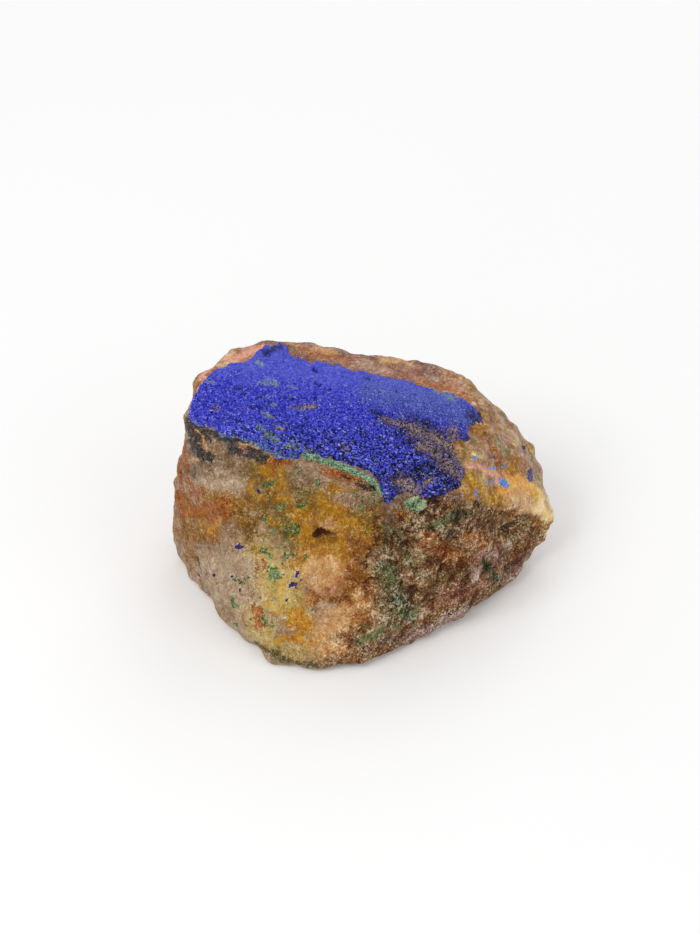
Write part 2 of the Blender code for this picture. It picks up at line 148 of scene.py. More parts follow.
def smooth_noise(points: np.ndarray, size: float, seed: int) -> np.ndarray:
    """Gradient noise, about -1 to 1, whose lumps measure about size: each cell's corners have a random
    slope, and a point takes their heights in shares that fade smoothly from corner to corner."""
    places = np.ascontiguousarray(np.asarray(points, float).T) / size
    base = np.floor(places)
    inside = places - base
    fade = inside**3 * (inside * (inside * 6 - 15) + 10)
    shares = (1 - fade, fade)
    keys = cell_keys(base.T, seed)
    total = np.zeros(places.shape[1])
    for corner in np.ndindex(2, 2, 2):
        slope = cell_values(keys + int(np.dot(corner, PRIMES)))
        height = sum(part * (along - shift) for part, along, shift in zip(slope, inside, corner, strict=True))
        total += shares[corner[0]][0] * shares[corner[1]][1] * shares[corner[2]][2] * height
    return total * 1.6


def layered_noise(points: np.ndarray, size: float, seed: int, layers: int = 3) -> np.ndarray:
    """Smooth noise with finer layers on it, each half as large and half as high as the one before."""
    return sum(smooth_noise(points, size / 2**k, seed + k) / 2**k for k in range(layers))


@dataclass
class Grains:
    """Which random seed each point is nearest to.

    near: distance to the nearest seed, in grain sizes. border: how much further the second nearest is.
    chance: three random numbers from -1 to 1 for the seed. tilt: height of a plane through the seed with a
    random slope, in grain sizes.
    """

    near: np.ndarray
    border: np.ndarray
    chance: list[np.ndarray]
    tilt: np.ndarray


def grains(points: np.ndarray, size: float | Triple, seed: int) -> Grains:
    """Cuts space into random grains.

    Args:
        points: the places, one row each.
        size: the grains' size, one number or one for each axis.
        seed: the number that fixes the seeds' places.

    Returns:
        What each point's nearest seed says, over the 27 cells round it.
    """
    places = np.ascontiguousarray((np.asarray(points, float) / size).T)
    base = np.floor(places)
    inside = places - base
    keys = cell_keys(base.T, seed)
    near = np.full(places.shape[1], 81.0)
    second, chosen = near.copy(), keys.copy()
    offset = np.zeros_like(places)
    for shift in np.ndindex(3, 3, 3):
        key = keys + int(np.dot(np.array(shift) - 1, PRIMES))
        strays = cell_values(key)
        away = [inside[axis] - shift[axis] + 0.5 - SEED_STRAY * strays[axis] for axis in range(3)]
        distance = away[0] ** 2 + away[1] ** 2 + away[2] ** 2
        nearer = distance < near
        second = np.where(nearer, near, np.minimum(second, distance))
        near = np.where(nearer, distance, near)
        chosen = np.where(nearer, key, chosen)
        offset = np.where(nearer, away, offset)
    chance = cell_values(chosen + 97 * SEED_STEP)
    near, second = np.sqrt(near), np.sqrt(second)
    tilt = sum(slope * part for slope, part in zip(chance, offset, strict=True))
    return Grains(near, second - near, chance, tilt)


def along(line: tuple, shares: np.ndarray) -> np.ndarray:
    """Points at these shares of the length of a line."""
    line = np.array(line)
    lengths = np.concatenate(([0], np.cumsum(np.linalg.norm(np.diff(line, axis=0), axis=1))))
    return np.column_stack([np.interp(shares * lengths[-1], lengths, axis) for axis in line.T])


# --- The block that the stone is broken from ---


def block_planes() -> tuple[np.ndarray, np.ndarray]:
    """The block's hull faces and its chips as (outward normals, distances from HEART)."""
    mesh = bmesh.new()
    for corner in CORNERS:
        mesh.verts.new(corner)
    bmesh.ops.convex_hull(mesh, input=mesh.verts)
    faces = [(np.array(face.normal), np.array(face.verts[0].co)) for face in mesh.faces]
    mesh.free()
    normals = np.array([normal for normal, _ in faces])
    distances = np.sum(normals * (np.array([place for _, place in faces]) - HEART), axis=1)
    outward = np.sign(distances)
    chance = np.random.default_rng(CHIP_SEED)
    lean = chance.normal(size=(CHIPS, 3))
    chips = unit(np.column_stack((lean[:, :2], np.minimum(lean[:, 2], CHIP_LEAN))))
    reach = np.max((np.array(CORNERS) - HEART) @ chips.T, axis=0) - chance.uniform(*CHIP_DEPTHS, CHIPS)
    return np.concatenate((normals * outward[:, None], chips)), np.concatenate((distances * outward, reach))


PLANES = block_planes()


def block_distance(directions: np.ndarray) -> np.ndarray:
    """How far the block's flat faces lie from HEART along each direction."""
    normals, distances = PLANES
    return 1 / np.max(directions @ (normals / distances[:, None]).T, axis=1)


def rounded_distance(directions: np.ndarray) -> np.ndarray:
    """The block's distance, averaged over a narrow cone, which rounds its edges."""
    side = unit(np.cross(directions, (0.31, 0.52, 0.79)))
    other = np.cross(directions, side)
    total = block_distance(directions)
    rings = ((0.55, 6), (1.0, 8))
    for width, count in rings:
        for turn in np.arange(count) * 2 * np.pi / count + width:
            leaning = directions + EDGE_CONE * width * (np.cos(turn) * side + np.sin(turn) * other)
            total = total + block_distance(unit(leaning))
    return total / (1 + sum(count for _, count in rings))


def under_crust(points: np.ndarray) -> np.ndarray:
    """1 where the druse lies, 0 away from it: inside its rough oval, on the upper face."""
    across = (points[:, 0] + 5.5) / 23.5
    deep = (points[:, 1] - 4.0 + 0.30 * (points[:, 0] + 5.5)) / 13.5
    return (1 - step(across**2 + deep**2, 0.8, 1.3)) * step(points[:, 2], 20, 24)


WEATHERED_SIDE = unit(np.array((0.85, -0.45, -0.25)))  # the way that the coarse face looks
SLOPE_SIDE = unit(np.array((0.05, 0.70, 0.71)))  # the way that the slope at the upper right looks


def crumbly(points: np.ndarray) -> np.ndarray:
    """1 on the coarse, weathered face to the front right, and 0 on the glassy face to the front left."""
    return step(points @ WEATHERED_SIDE, 2, 8)


def carved_relief(points: np.ndarray) -> np.ndarray:
    """Height that the swells, hollows and ledges add at each point."""
    height = np.zeros(len(points))
    for centre, reach, rise in SWELLS:
        height += rise * np.exp(-2 * np.sum((points - centre) ** 2, axis=1) / reach**2)
    for centre, raised_side, rise, reach in LEDGES:
        offset = points - centre
        across = offset @ unit(np.array(raised_side)) + 0.5 * smooth_noise(points, 3.0, 71)
        away = np.sum(offset**2, axis=1) / reach**2
        height += rise * (step(across, -LEDGE_WIDTH / 2, LEDGE_WIDTH / 2) - 0.5) * np.exp(-2 * away)
    return height


def grain_relief(points: np.ndarray) -> np.ndarray:
    """Height of the broken, granular surface, quieter where the druse lies."""
    broad = 0.9 * layered_noise(points, 11.0, 5)
    coarse = layered_noise(points, 4.5, 23, 2) * (0.45 + 0.45 * crumbly(points))
    return (broad + coarse) * (1 - 0.85 * under_crust(points))


def solid_surface(directions: np.ndarray) -> np.ndarray:
    """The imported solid's surface along these directions from HEART, before its underside is cut flat."""
    points = HEART + directions * rounded_distance(directions)[:, None]
    return points + directions * (carved_relief(points) + grain_relief(points))[:, None]


# --- Where the camera stands ---


@dataclass(frozen=True)
class Viewpoint:
    """The camera, and where things show in its 700 x 933 frame."""

    lens: float = 85.0
    film: float = 36.0  # the sensor's long side, which is upright
    place: Triple = (-2.24, -274.004, 237.291)
    dip: float = 38.0  # degrees that it looks down

    @property
    def axes(self) -> np.ndarray:
        """Its right, up and forward directions, one row each."""
        low, flat = np.sin(np.radians(self.dip)), np.cos(np.radians(self.dip))
        return np.array(((1, 0, 0), (0, low, flat), (0, flat, -low)))

    def seen(self, points: np.ndarray) -> np.ndarray:
        """Where points show: columns x and y in pixels from the frame's top left, and depth in mm."""
        right, up, ahead = ((points - np.array(self.place)) @ self.axes.T).T
        pixels = self.lens / self.film * FRAME_HEIGHT / ahead
        return np.column_stack((FRAME_WIDTH / 2 + right * pixels, FRAME_HEIGHT / 2 - up * pixels, ahead))

    def rays(self, places: np.ndarray) -> np.ndarray:
        """Directions from the camera through these places of the frame, one row each."""
        middle = np.array((FRAME_WIDTH, FRAME_HEIGHT)) / 2
        right, up = (places - middle).T * self.film / self.lens / FRAME_HEIGHT
        return unit(np.column_stack((right, -up, np.ones(len(places)))) @ self.axes)

    def camera(self) -> bpy.types.Object:
        """The camera itself, made the scene's own."""
        data = bpy.data.cameras.new("camera")
        data.lens, data.sensor_fit = self.lens, "VERTICAL"
        data.sensor_height = self.film
        data.clip_start, data.clip_end = 0.01, 20
        thing = bpy.data.objects.new("camera", data)
        thing.location = np.array(self.place) * MM
        thing.rotation_euler = (np.radians(90 - self.dip), 0, 0)
        bpy.context.scene.collection.objects.link(thing)
        bpy.context.scene.camera = thing
        return thing


VIEW = Viewpoint()
PIXELS_PER_MM = 6.25  # at the middle of the specimen
DEPTH_SHARE = 0.3  # how much of a distance along the view counts towards the size of a mark


@dataclass
class Canvas:
    """A piece's surface points, as a thing to put marks on.

    points: the surface in mm. waver: how far noise pushes a mark's outline, in mm. lump: the size of that
    noise's largest lumps, in mm.
    """

    points: np.ndarray
    waver: float = 0.35
    lump: float = 1.6

    def __post_init__(self) -> None:
        """Works out where the points show and what they measure for a mark."""
        self.seen = VIEW.seen(self.points)
        push = [layered_noise(self.points, self.lump, 301 + 10 * axis) for axis in range(3)]
        self.wavered = np.ascontiguousarray(self.squash(self.points + self.waver * np.column_stack(push)).T)

    def squash(self, points: np.ndarray) -> np.ndarray:
        """The points with their distances along the view made short."""
        ahead = VIEW.axes[2]
        return points - (1 - DEPTH_SHARE) * (points @ ahead)[:, None] * ahead

    def spot(self, x: float, y: float) -> np.ndarray:
        """The surface point that shows at this place of the frame: the nearest in depth of those close by."""
        away = (self.seen[:, 0] - x) ** 2 + (self.seen[:, 1] - y) ** 2
        close = np.flatnonzero(away < (np.sqrt(away.min()) + 1.5) ** 2)
        return self.points[close[np.argmin(self.seen[close, 2])]]

    def closeness(self, marks: tuple[Mark, ...]) -> np.ndarray:
        """How far inside the nearest mark each point lies: 1 on its middle line, 0 at its edge, -1 and less
        outside. It is one less the distance to the mark's middle line over the mark's radius."""
        best = np.full(len(self.points), -2.0)
        for mark in marks:
            start, end = self.squash(np.array((self.spot(*mark[:2]), self.spot(*mark[-3:-1]))))
            radius = mark[-1] / PIXELS_PER_MM
            line = end - start
            length = max(float(line @ line), 1e-9)
            reach = 3 * radius + np.sqrt(length) / 2
            middle = (start + end) / 2
            inside = np.flatnonzero(np.abs(self.wavered[0] - middle[0]) < reach)
            inside = inside[np.abs(self.wavered[1, inside] - middle[1]) < reach]
            away = self.wavered[:, inside].T - start
            share = np.clip(away @ line / length, 0, 1)
            distance = np.linalg.norm(away - share[:, None] * line, axis=1)
            best[inside] = np.maximum(best[inside], 1 - distance / radius)
        return best


# --- Colours that are laid on softly ---


class Tint(Enum):
    """The specimen's colours, and those of its painted highlights and shade, as red, green and blue from 0
    to 255 on a screen.
    """

    PALE = (177, 154, 128)
    WHITE = (222, 190, 154)
    GREY = (146, 124, 100)
    SHADE = (120, 99, 78)
    MAUVE = (146, 120, 98)
    CREAM = (202, 176, 114)
    IVORY = (246, 216, 162)
    PEACH = (210, 164, 110)
    YELLOW = (204, 146, 28)
    STRAW = (178, 156, 92)
    LEMON = (232, 184, 86)
    APRICOT = (226, 158, 62)
    AMBER = (168, 120, 2)
    MARIGOLD = (186, 134, 6)
    GOLDEN = (124, 92, 12)
    HONEY = (164, 118, 22)
    OCHRE = (154, 110, 34)
    OLIVE = (120, 102, 44)
    LEATHER = (140, 94, 22)
    RUST = (154, 88, 10)
    BRICK = (164, 98, 44)
    UMBER = (80, 48, 22)
    COCOA = (102, 74, 48)
    DEN = (84, 50, 26)
    BARK = (124, 90, 58)
    TAN = (160, 118, 82)
    # Painted shadow under the malachite rim, and dark spots
    DARK_SPOT_AND_SHADOW = (38, 32, 28)
    SAGE = (126, 120, 84)
    MOSS = (96, 88, 58)
    PINE = (58, 76, 52)
    PINK = (222, 158, 132)
    ROSE = (158, 112, 94)
    PLUM = (120, 96, 84)
    BRONZE = (150, 100, 42)
    LILAC = (136, 108, 124)

    FERN = (30, 62, 28)
    LEAF = (92, 120, 58)
    MINT = (150, 182, 134)
    TEAL = (98, 132, 98)
    NAVY = (34, 30, 104)
    SKY = (104, 138, 206)
    INK = (20, 20, 28)
    ASH = (96, 92, 92)
    CLAY = (128, 88, 54)
    FAWN = (175, 133, 88)
    SAND = (179, 136, 93)
    BUFF = (171, 123, 71)
    # Painted glints and highlights; also the pale veins on the quartz
    GLINT = (242, 210, 162)
    STEEL = (98, 126, 160)
    AZURE = (58, 96, 182)
    COBALT = (66, 72, 214)
    VIOLET = (78, 84, 200)
    # Painted glints on the azurite
    SPARK = (128, 132, 230)
    # Black: painted shade in the azurite's gaps, clefts and at its crystals' feet, and the colour of its dark
    # patches
    NIGHT = (7, 7, 26)
    # Painted glints on the azurite
    PALE_GLINT = (204, 206, 230)
    # Painted highlight on the azurite crystals' tips
    GLEAM = (98, 104, 240)
    SLATE = (80, 96, 167)
    DUST = (180, 156, 146)
    # Painted shade in the malachite's hollows
    HOLLOW_SHADE = (14, 40, 26)
    JADE = (126, 160, 126)
    # Painted highlight on the malachite rim's ridges
    MINT_RIDGE_HIGHLIGHT = (186, 216, 188)
    LICHEN = (132, 152, 112)
    # Painted highlight on the malachite lump's ridges
    SAGE_RIDGE_HIGHLIGHT = (200, 206, 172)

    @property
    def linear(self) -> np.ndarray:
        """The colour in linear light: each share to the power 2.2."""
        return (np.array(self.value) / 255) ** 2.2


def between(low: Tint, high: Tint, share: np.ndarray) -> np.ndarray:
    """One row a point: the colour this share of the way from low to high."""
    share = np.clip(share, 0, 1)[:, None]
    return (1 - share) * low.linear + share * high.linear


def over(colour: np.ndarray, tint: Tint, share: np.ndarray) -> np.ndarray:
    """The colours with a tint laid over them at this share."""
    return colour + (tint.linear - colour) * share[:, None]


@dataclass(frozen=True)
class Wash:
    """A colour laid over marks: how strongly, and over how much of a radius its edge fades."""

    tint: Tint
    strength: float
    fade: float
    marks: tuple[Mark, ...]


# Broad, soft colours under the rest: the front and right faces, the slope, and the strip behind the druse
ZONES = (
    Wash(Tint.GREY, 0.9, 0.9, ((196, 462, 250, 460, 16), (212, 440, 232, 446, 8))),
    Wash(Tint.SHADE, 0.7, 1.0, ((188, 470, 206, 462, 10), (244, 470, 252, 484, 9), (226, 452, 11))),
    Wash(Tint.PALE, 0.95, 0.8, ((206, 487, 240, 487, 8), (220, 480, 232, 480, 4))),
    Wash(Tint.LEATHER, 0.9, 0.9,
         ((184, 512, 234, 513, 15), (184, 538, 214, 536, 12), (182, 498, 190, 560, 9))),
    Wash(Tint.OCHRE, 0.7, 0.9, ((206, 500, 256, 502, 9), (196, 526, 226, 530, 9), (246, 520, 250, 534, 9))),
    Wash(Tint.MAUVE, 0.8, 0.8, ((232, 530, 260, 544, 10), (198, 546, 222, 546, 5))),
    Wash(Tint.GOLDEN, 0.9, 0.9, ((262, 466, 282, 520, 19), (252, 494, 262, 514, 10))),
    Wash(Tint.HONEY, 0.95, 0.8,
         ((324, 512, 328, 542, 28), (352, 520, 370, 534, 15), (300, 520, 306, 548, 14))),
    Wash(Tint.OLIVE, 0.8, 0.9,
         ((296, 486, 312, 504, 12), (362, 500, 378, 514, 9), (282, 526, 294, 540, 10))),
    Wash(Tint.MAUVE, 0.85, 0.8, ((299, 474, 316, 480, 9), (334, 494, 358, 500, 9))),
    Wash(Tint.STRAW, 0.85, 0.9, ((256, 552, 288, 604, 20), (296, 560, 302, 574, 9))),
    Wash(Tint.CREAM, 0.7, 0.9, ((258, 556, 262, 600, 10), (282, 566, 288, 604, 9))),
    Wash(Tint.PALE, 0.95, 0.8,
         ((206, 566, 244, 572, 17), (216, 592, 244, 602, 15), (234, 624, 250, 634, 9))),
    Wash(Tint.PEACH, 0.8, 0.9, ((304, 566, 344, 564, 15), (318, 584, 336, 580, 9))),
    Wash(Tint.BRICK, 0.65, 0.9, ((356, 548, 362, 596, 12), (304, 604, 358, 582, 9))),
    Wash(Tint.CREAM, 0.7, 0.9, ((252, 616, 262, 636, 13), (276, 612, 290, 602, 8))),
    Wash(Tint.STRAW, 0.7, 1.0, ((262, 640, 300, 654, 11), (286, 604, 312, 640, 10))),
    Wash(Tint.PEACH, 0.85, 0.9,
         ((322, 634, 352, 612, 17), (350, 600, 366, 606, 9), (320, 652, 340, 650, 6))),
    Wash(Tint.BRICK, 0.8, 0.8, ((326, 470, 360, 478, 7), (266, 456, 286, 463, 5))),
    Wash(Tint.LEATHER, 0.85, 0.9,
         ((380, 508, 374, 540, 8), (368, 548, 354, 582, 9), (350, 598, 356, 580, 7))),
    Wash(Tint.PLUM, 0.8, 0.9, ((386, 504, 402, 500, 6), (392, 514, 404, 512, 6), (424, 500, 462, 496, 5))),
    Wash(Tint.MOSS, 0.75, 1.0, ((388, 560, 398, 616, 11), (406, 590, 410, 616, 9), (398, 540, 410, 556, 8))),
    Wash(Tint.BARK, 0.8, 1.0, ((440, 570, 470, 580, 12), (500, 540, 530, 534, 8))),
    Wash(Tint.COCOA, 0.9, 1.0, ((396, 516, 484, 512, 13), (398, 532, 478, 528, 11))),
    Wash(Tint.BRICK, 0.7, 0.9, ((428, 540, 452, 560, 11), (466, 534, 484, 548, 8), (496, 562, 504, 540, 6))),
    Wash(Tint.ROSE, 0.7, 0.9, ((434, 602, 470, 590, 10), (480, 588, 520, 560, 9), (478, 558, 500, 560, 7))),
    Wash(Tint.PLUM, 0.75, 0.9, ((384, 642, 440, 626, 7), (450, 620, 484, 600, 6), (500, 580, 524, 560, 6))),
    Wash(Tint.DUST, 0.6, 0.9, ((412, 642, 470, 614, 6), (474, 574, 506, 548, 8), (506, 584, 532, 556, 7))),
    Wash(Tint.SAGE, 0.7, 0.9,
         ((358, 640, 380, 634, 8), (384, 576, 392, 590, 6), (412, 560, 424, 572, 6),
          (484, 560, 498, 578, 6))),
)
SLOPE_ZONES = (
    Wash(Tint.ROSE, 0.9, 0.9, ((440, 378, 462, 386, 8), (486, 440, 502, 446, 6), (484, 452, 502, 460, 7))),
    Wash(Tint.BRICK, 0.9, 0.8, ((460, 390, 470, 400, 6), (494, 448, 502, 462, 5))),
    Wash(Tint.TAN, 0.85, 0.9, ((474, 392, 492, 412, 7), (472, 438, 484, 450, 8))),
    Wash(Tint.BRONZE, 0.9, 0.8, ((474, 426, 488, 436, 8), (484, 414, 3), (503, 458, 516, 462, 7))),
    Wash(Tint.SAGE, 0.85, 0.8, ((499, 442, 509, 450, 6), (498, 412, 506, 418, 4), (476, 440, 4))),
    Wash(Tint.CREAM, 0.75, 0.9, ((512, 432, 520, 446, 5), (472, 452, 482, 456, 3), (506, 424, 510, 432, 4))),
    Wash(Tint.HONEY, 0.95, 0.8,
         ((468, 478, 500, 498, 13), (484, 486, 500, 502, 9), (464, 460, 468, 474, 5))),
    Wash(Tint.YELLOW, 0.7, 0.8, ((472, 482, 496, 500, 5), (490, 496, 504, 502, 4))),
    Wash(Tint.PINK, 0.9, 0.8, ((486, 470, 500, 477, 4), (470, 462, 482, 468, 4))),
    Wash(Tint.APRICOT, 0.95, 0.8, ((512, 480, 530, 488, 9), (504, 486, 512, 494, 6))),
    Wash(Tint.PEACH, 0.9, 0.8, ((516, 496, 534, 508, 9), (506, 500, 514, 510, 5))),
    Wash(Tint.LEMON, 0.95, 0.7, ((536, 488, 541, 502, 7), (531, 484, 4))),
    Wash(Tint.IVORY, 1.0, 0.8, ((544, 506, 550, 518, 11), (536, 470, 539, 480, 2), (474, 402, 2.5))),
    Wash(Tint.SAGE, 0.8, 0.9, ((533, 458, 540, 486, 4), (524, 520, 532, 522, 4))),
    Wash(Tint.OCHRE, 0.8, 0.9, ((538, 522, 548, 528, 7), (509, 514, 520, 517, 4))),
    Wash(Tint.RUST, 0.8, 0.7,
         ((505, 514, 519, 516, 3), (494, 450, 500, 460, 2.5), (456, 446, 462, 440, 2.5))),
    Wash(Tint.LILAC, 0.8, 0.7,
         ((482, 409, 487, 412, 3), (520, 446, 524, 452, 2.5), (500, 466, 504, 470, 2))),
    Wash(Tint.UMBER, 0.7, 0.7,
         ((492, 438, 482, 436, 2), (488, 452, 494, 456, 2), (500, 514, 536, 514, 2.5))),
    Wash(Tint.GOLDEN, 0.9, 0.8,
         ((456, 428, 460, 446, 3.5), (462, 448, 466, 470, 3), (480, 412, 488, 418, 4))),
)
TOP_ZONES = (
    Wash(Tint.PINK, 1.0, 0.7, ((228, 358, 258, 350, 9), (242, 352, 262, 346, 5), (190, 402, 208, 370, 4))),
    Wash(Tint.WHITE, 0.8, 0.7, ((216, 367, 236, 361, 3), (224, 358, 230, 350, 2), (346, 356, 370, 361, 2))),
    Wash(Tint.ROSE, 0.8, 0.8, ((300, 348, 430, 378, 6),)),
    Wash(Tint.BRICK, 0.7, 0.9, ((296, 350, 330, 357, 5), (420, 380, 450, 388, 5), (336, 358, 350, 362, 3))),
    Wash(Tint.PEACH, 0.8, 1.0, ((318, 347, 334, 353, 3), (380, 357, 410, 363, 3), (288, 342, 300, 345, 2))),
    Wash(Tint.PALE, 0.6, 0.9, ((362, 363, 380, 369, 4), (428, 374, 438, 378, 3))),
)
# Stronger colours that soak in unevenly
STAINS = (
    Wash(Tint.RUST, 1.0, 0.9, ((178, 506, 224, 508, 6), (180, 514, 222, 516, 5), (222, 503, 232, 507, 3))),
    Wash(Tint.RUST, 0.85, 0.9,
         ((183, 440, 181, 470, 6), (180, 470, 178, 500, 6), (184, 482, 197, 494, 6),
          (188, 470, 184, 460, 4))),
    Wash(Tint.YELLOW, 0.7, 0.9, ((208, 531, 216, 525, 5), (256, 544, 256, 552, 3))),
    Wash(Tint.AMBER, 0.9, 1.0, ((268, 470, 280, 490, 8), (278, 498, 290, 504, 6), (252, 488, 258, 498, 4))),
    Wash(Tint.AMBER, 1.0, 0.8,
         ((268, 522, 274, 525, 4), (328, 486, 342, 487, 5), (308, 498, 3), (260, 474, 3))),
    Wash(Tint.AMBER, 1.0, 0.9,
         ((320, 500, 342, 516, 10), (301, 514, 310, 548, 9), (312, 552, 350, 552, 6), (344, 514, 356, 520, 8),
          (344, 530, 346, 546, 7), (284, 566, 300, 556, 5))),
    Wash(Tint.GOLDEN, 0.9, 1.0, ((358, 508, 374, 524, 8), (366, 530, 374, 520, 6), (240, 512, 250, 530, 6))),
    Wash(Tint.LEMON, 0.5, 1.0, ((278, 586, 282, 604, 4), (266, 608, 276, 612, 3))),
    Wash(Tint.OCHRE, 0.6, 1.0, ((252, 546, 258, 572, 4), (262, 556, 266, 566, 3))),
    Wash(Tint.BRICK, 1.0, 0.9, ((248, 604, 250, 612, 3), (256, 612, 260, 626, 5), (262, 556, 265, 568, 3))),
    Wash(Tint.MARIGOLD, 1.0, 0.5,
         ((295, 615, 302, 627, 9), (288, 624, 307, 624, 7), (298, 634, 286, 640, 6),
          (278, 642, 286, 638, 5))),
    Wash(Tint.YELLOW, 0.8, 0.9, ((298, 642, 306, 650, 4), (312, 643, 328, 641, 2.5))),
    Wash(Tint.RUST, 0.9, 0.8, ((330, 469, 360, 479, 4), (268, 455, 284, 462, 3.5), (240, 450, 250, 446, 3))),
    Wash(Tint.LEATHER, 0.9, 1.0,
         ((356, 542, 362, 590, 6), (310, 606, 342, 596, 4), (342, 596, 362, 586, 5))),
    Wash(Tint.UMBER, 0.9, 0.8, ((379, 520, 372, 552, 3), (372, 556, 358, 580, 3), (352, 642, 364, 650, 4))),
    # The first streak is painted shade in the groove under the nose's ledge.
    Wash(Tint.UMBER, 0.8, 0.8, ((488, 532, 508, 530, 4), (424, 600, 430, 592, 3))),
    # The first streak is painted shadow on the stone under the malachite rim's edge; the other marks here are
    # dark spots.
    Wash(Tint.DARK_SPOT_AND_SHADOW, 1.0, 0.8, ((360, 484, 378, 489, 3), (348, 475, 351, 478, 2), (195, 561, 198, 569, 3.5))),
    # Along the foot's lower edge this dark green is partly the stone's own colour and partly painted shade
    # where the foot curves under.
    Wash(Tint.MOSS, 1.0, 0.9,
         ((252, 645, 282, 659, 3.5), (280, 659, 312, 666, 3.5), (386, 530, 384, 552, 4))),
    Wash(Tint.PINE, 1.0, 0.9, ((432, 526, 446, 520, 4), (450, 516, 462, 513, 3), (506, 524, 518, 522, 4))),
    Wash(Tint.PINE, 0.85, 1.0, ((400, 600, 410, 616, 9), (488, 566, 498, 580, 6), (386, 566, 392, 574, 4))),
    Wash(Tint.DARK_SPOT_AND_SHADOW, 0.6, 0.9, ((446, 618, 460, 610, 3), (390, 544, 394, 560, 2), (420, 574, 426, 584, 2))),
    Wash(Tint.RUST, 0.8, 0.9, ((440, 540, 450, 552, 5),)),
    Wash(Tint.LEATHER, 0.9, 0.9, ((398, 512, 406, 520, 4), (352, 570, 372, 580, 5))),
    Wash(Tint.AMBER, 1.0, 0.8, ((510, 467, 520, 472, 5), (466, 476, 470, 498, 5), (500, 498, 506, 500, 4))),
    Wash(Tint.AMBER, 0.8, 0.9, ((478, 488, 494, 500, 6), (478, 414, 488, 418, 4), (474, 428, 482, 436, 4))),
)
# Specks and patches whose outlines the finish makes ragged
GREEN_SPECKS = (
    (266, 456, 2), (296, 471, 3), (317, 478, 317, 486, 2), (327, 488, 2), (357, 491, 3), (342, 502, 1.5),
    (361, 507, 3), (335, 491, 1.5), (337, 479, 1.5), (348, 486, 1.5), (264, 485, 271, 484, 3),
    (275, 508, 283, 507, 3.2), (296, 508, 302, 507, 2.2), (306, 508, 2.6), (262, 517, 265, 521, 2.5),
    (275, 518, 2), (271, 530, 3), (287, 527, 298, 526, 3.6), (293, 533, 298, 535, 3), (256, 535, 1.6),
    (378, 505, 1.6), (376, 515, 1.6), (288, 476, 2), (263, 548, 266, 552, 3), (268, 555, 3),
    (276, 547, 281, 546, 1.6), (286, 553, 292, 555, 4), (304, 555, 303, 559, 1.8), (269, 570, 275, 572, 3.6),
    (271, 578, 277, 577, 3.6), (280, 572, 1.8), (254, 563, 2), (256, 568, 1.6), (254, 574, 2),
    (235, 580, 241, 582, 3.4), (226, 574, 1.4), (244, 572, 1.4), (248, 579, 2.5), (232, 601, 234, 608, 3),
    (259, 598, 2), (254, 605, 1.6), (242, 594, 1.6), (272, 602, 1.6), (263, 618, 266, 625, 3.6),
    (269, 626, 2.6), (250, 621, 2), (234, 625, 237, 627, 2), (245, 626, 1.6), (283, 448, 1.5), (287, 461, 2),
    (300, 465, 2), (309, 468, 1.6), (322, 474, 1.5), (366, 494, 1.5), (372, 500, 1.6), (370, 521, 1.5),
    (389, 528, 390, 534, 1.8), (401, 535, 404, 538, 2), (434, 524, 442, 523, 3), (448, 518, 455, 517, 3),
    (470, 512, 2.5), (422, 560, 2.5), (452, 585, 3), (394, 627, 398, 630, 3), (378, 634, 384, 630, 3.5),
    (390, 570, 392, 578, 2.5), (404, 590, 2.2), (416, 612, 422, 606, 3), (430, 545, 434, 540, 2.2),
    (512, 538, 518, 536, 2), (524, 528, 2), (531, 452, 533, 462, 1.6), (362, 640, 370, 638, 3),
    (484, 577, 2.4), (288, 498, 2), (304, 520, 1.6), (282, 540, 1.8), (262, 540, 1.6), (246, 588, 2),
    (262, 588, 2), (280, 562, 2), (296, 546, 1.6), (368, 486, 2), (374, 492, 376, 500, 2), (352, 505, 1.6),
    (276, 486, 1.6), (272, 498, 1.6),
)
BLUE_SPECKS = (
    (235, 548, 241, 546, 2.2), (238, 544, 1.4), (197, 575, 2.5), (212, 576, 2.2), (229, 577, 233, 576, 1.8),
    (237, 590, 2), (234, 588, 1), (205, 594, 1.8), (296, 572, 296, 575, 2.2), (300, 574, 0.9),
    (299, 582, 1.6), (289, 584, 293, 583, 2.4), (294, 587, 1.2), (286, 602, 1.6), (525, 446, 525, 451, 2.4),
    (532, 473, 532, 478, 4), (464, 426, 467, 436, 5), (476, 414, 480, 418, 5), (256, 490, 258, 493, 1.2),
    (499, 450, 1.2), (515, 505, 1.6),
)
SKY_SPECKS = (
    (475, 457, 477, 457, 1.8), (492, 468, 496, 469, 2), (486, 481, 488, 483, 1.6), (492, 481, 494, 482, 1.6),
    (503, 480, 507, 485, 4), (477, 491, 478, 496, 2.4), (480, 500, 1.6), (505, 463, 505, 466, 1.4),
)
OXIDE_PATCHES = (
    (189, 426, 198, 438, 8), (190, 444, 200, 455, 8), (204, 452, 209, 458, 5), (200, 430, 226, 437, 4.5),
    (231, 446, 237, 454, 4.5), (248, 453, 262, 459, 6), (250, 448, 258, 450, 4), (194, 428, 206, 438, 6),
    (226, 438, 246, 442, 3),
)
TAN_STREAKS = (
    (195, 430, 201, 437, 1.2), (203, 440, 207, 451, 2.2), (238, 441, 262, 447, 1.2),
    (188, 459, 198, 461, 2.2),
)
# The small open pocket: its mouth, its lit floor and the lit lip over it
VUG_MOUTH = ((315, 536.5, 332, 537, 4.6), (315.5, 531, 2.6), (333, 535, 3.2))
VUG_FLOOR = ((313, 543, 333, 543, 4.6), (319, 546, 328, 546, 3), (324, 549, 2))
VUG_BROW = ((321, 525, 332, 525, 4.5), (326, 519, 330, 519, 2.4), (327, 532, 2.0))
STEEL_STREAKS = (
    (222, 433, 240, 437, 1.2), (240, 438, 258, 441, 2.2), (256, 441, 268, 449, 3.0),
    (268, 448, 284, 455, 2.2), (276, 456, 297, 458, 2.2), (208, 427, 222, 432, 0.8),
)


# --- Making a piece from arrays ---


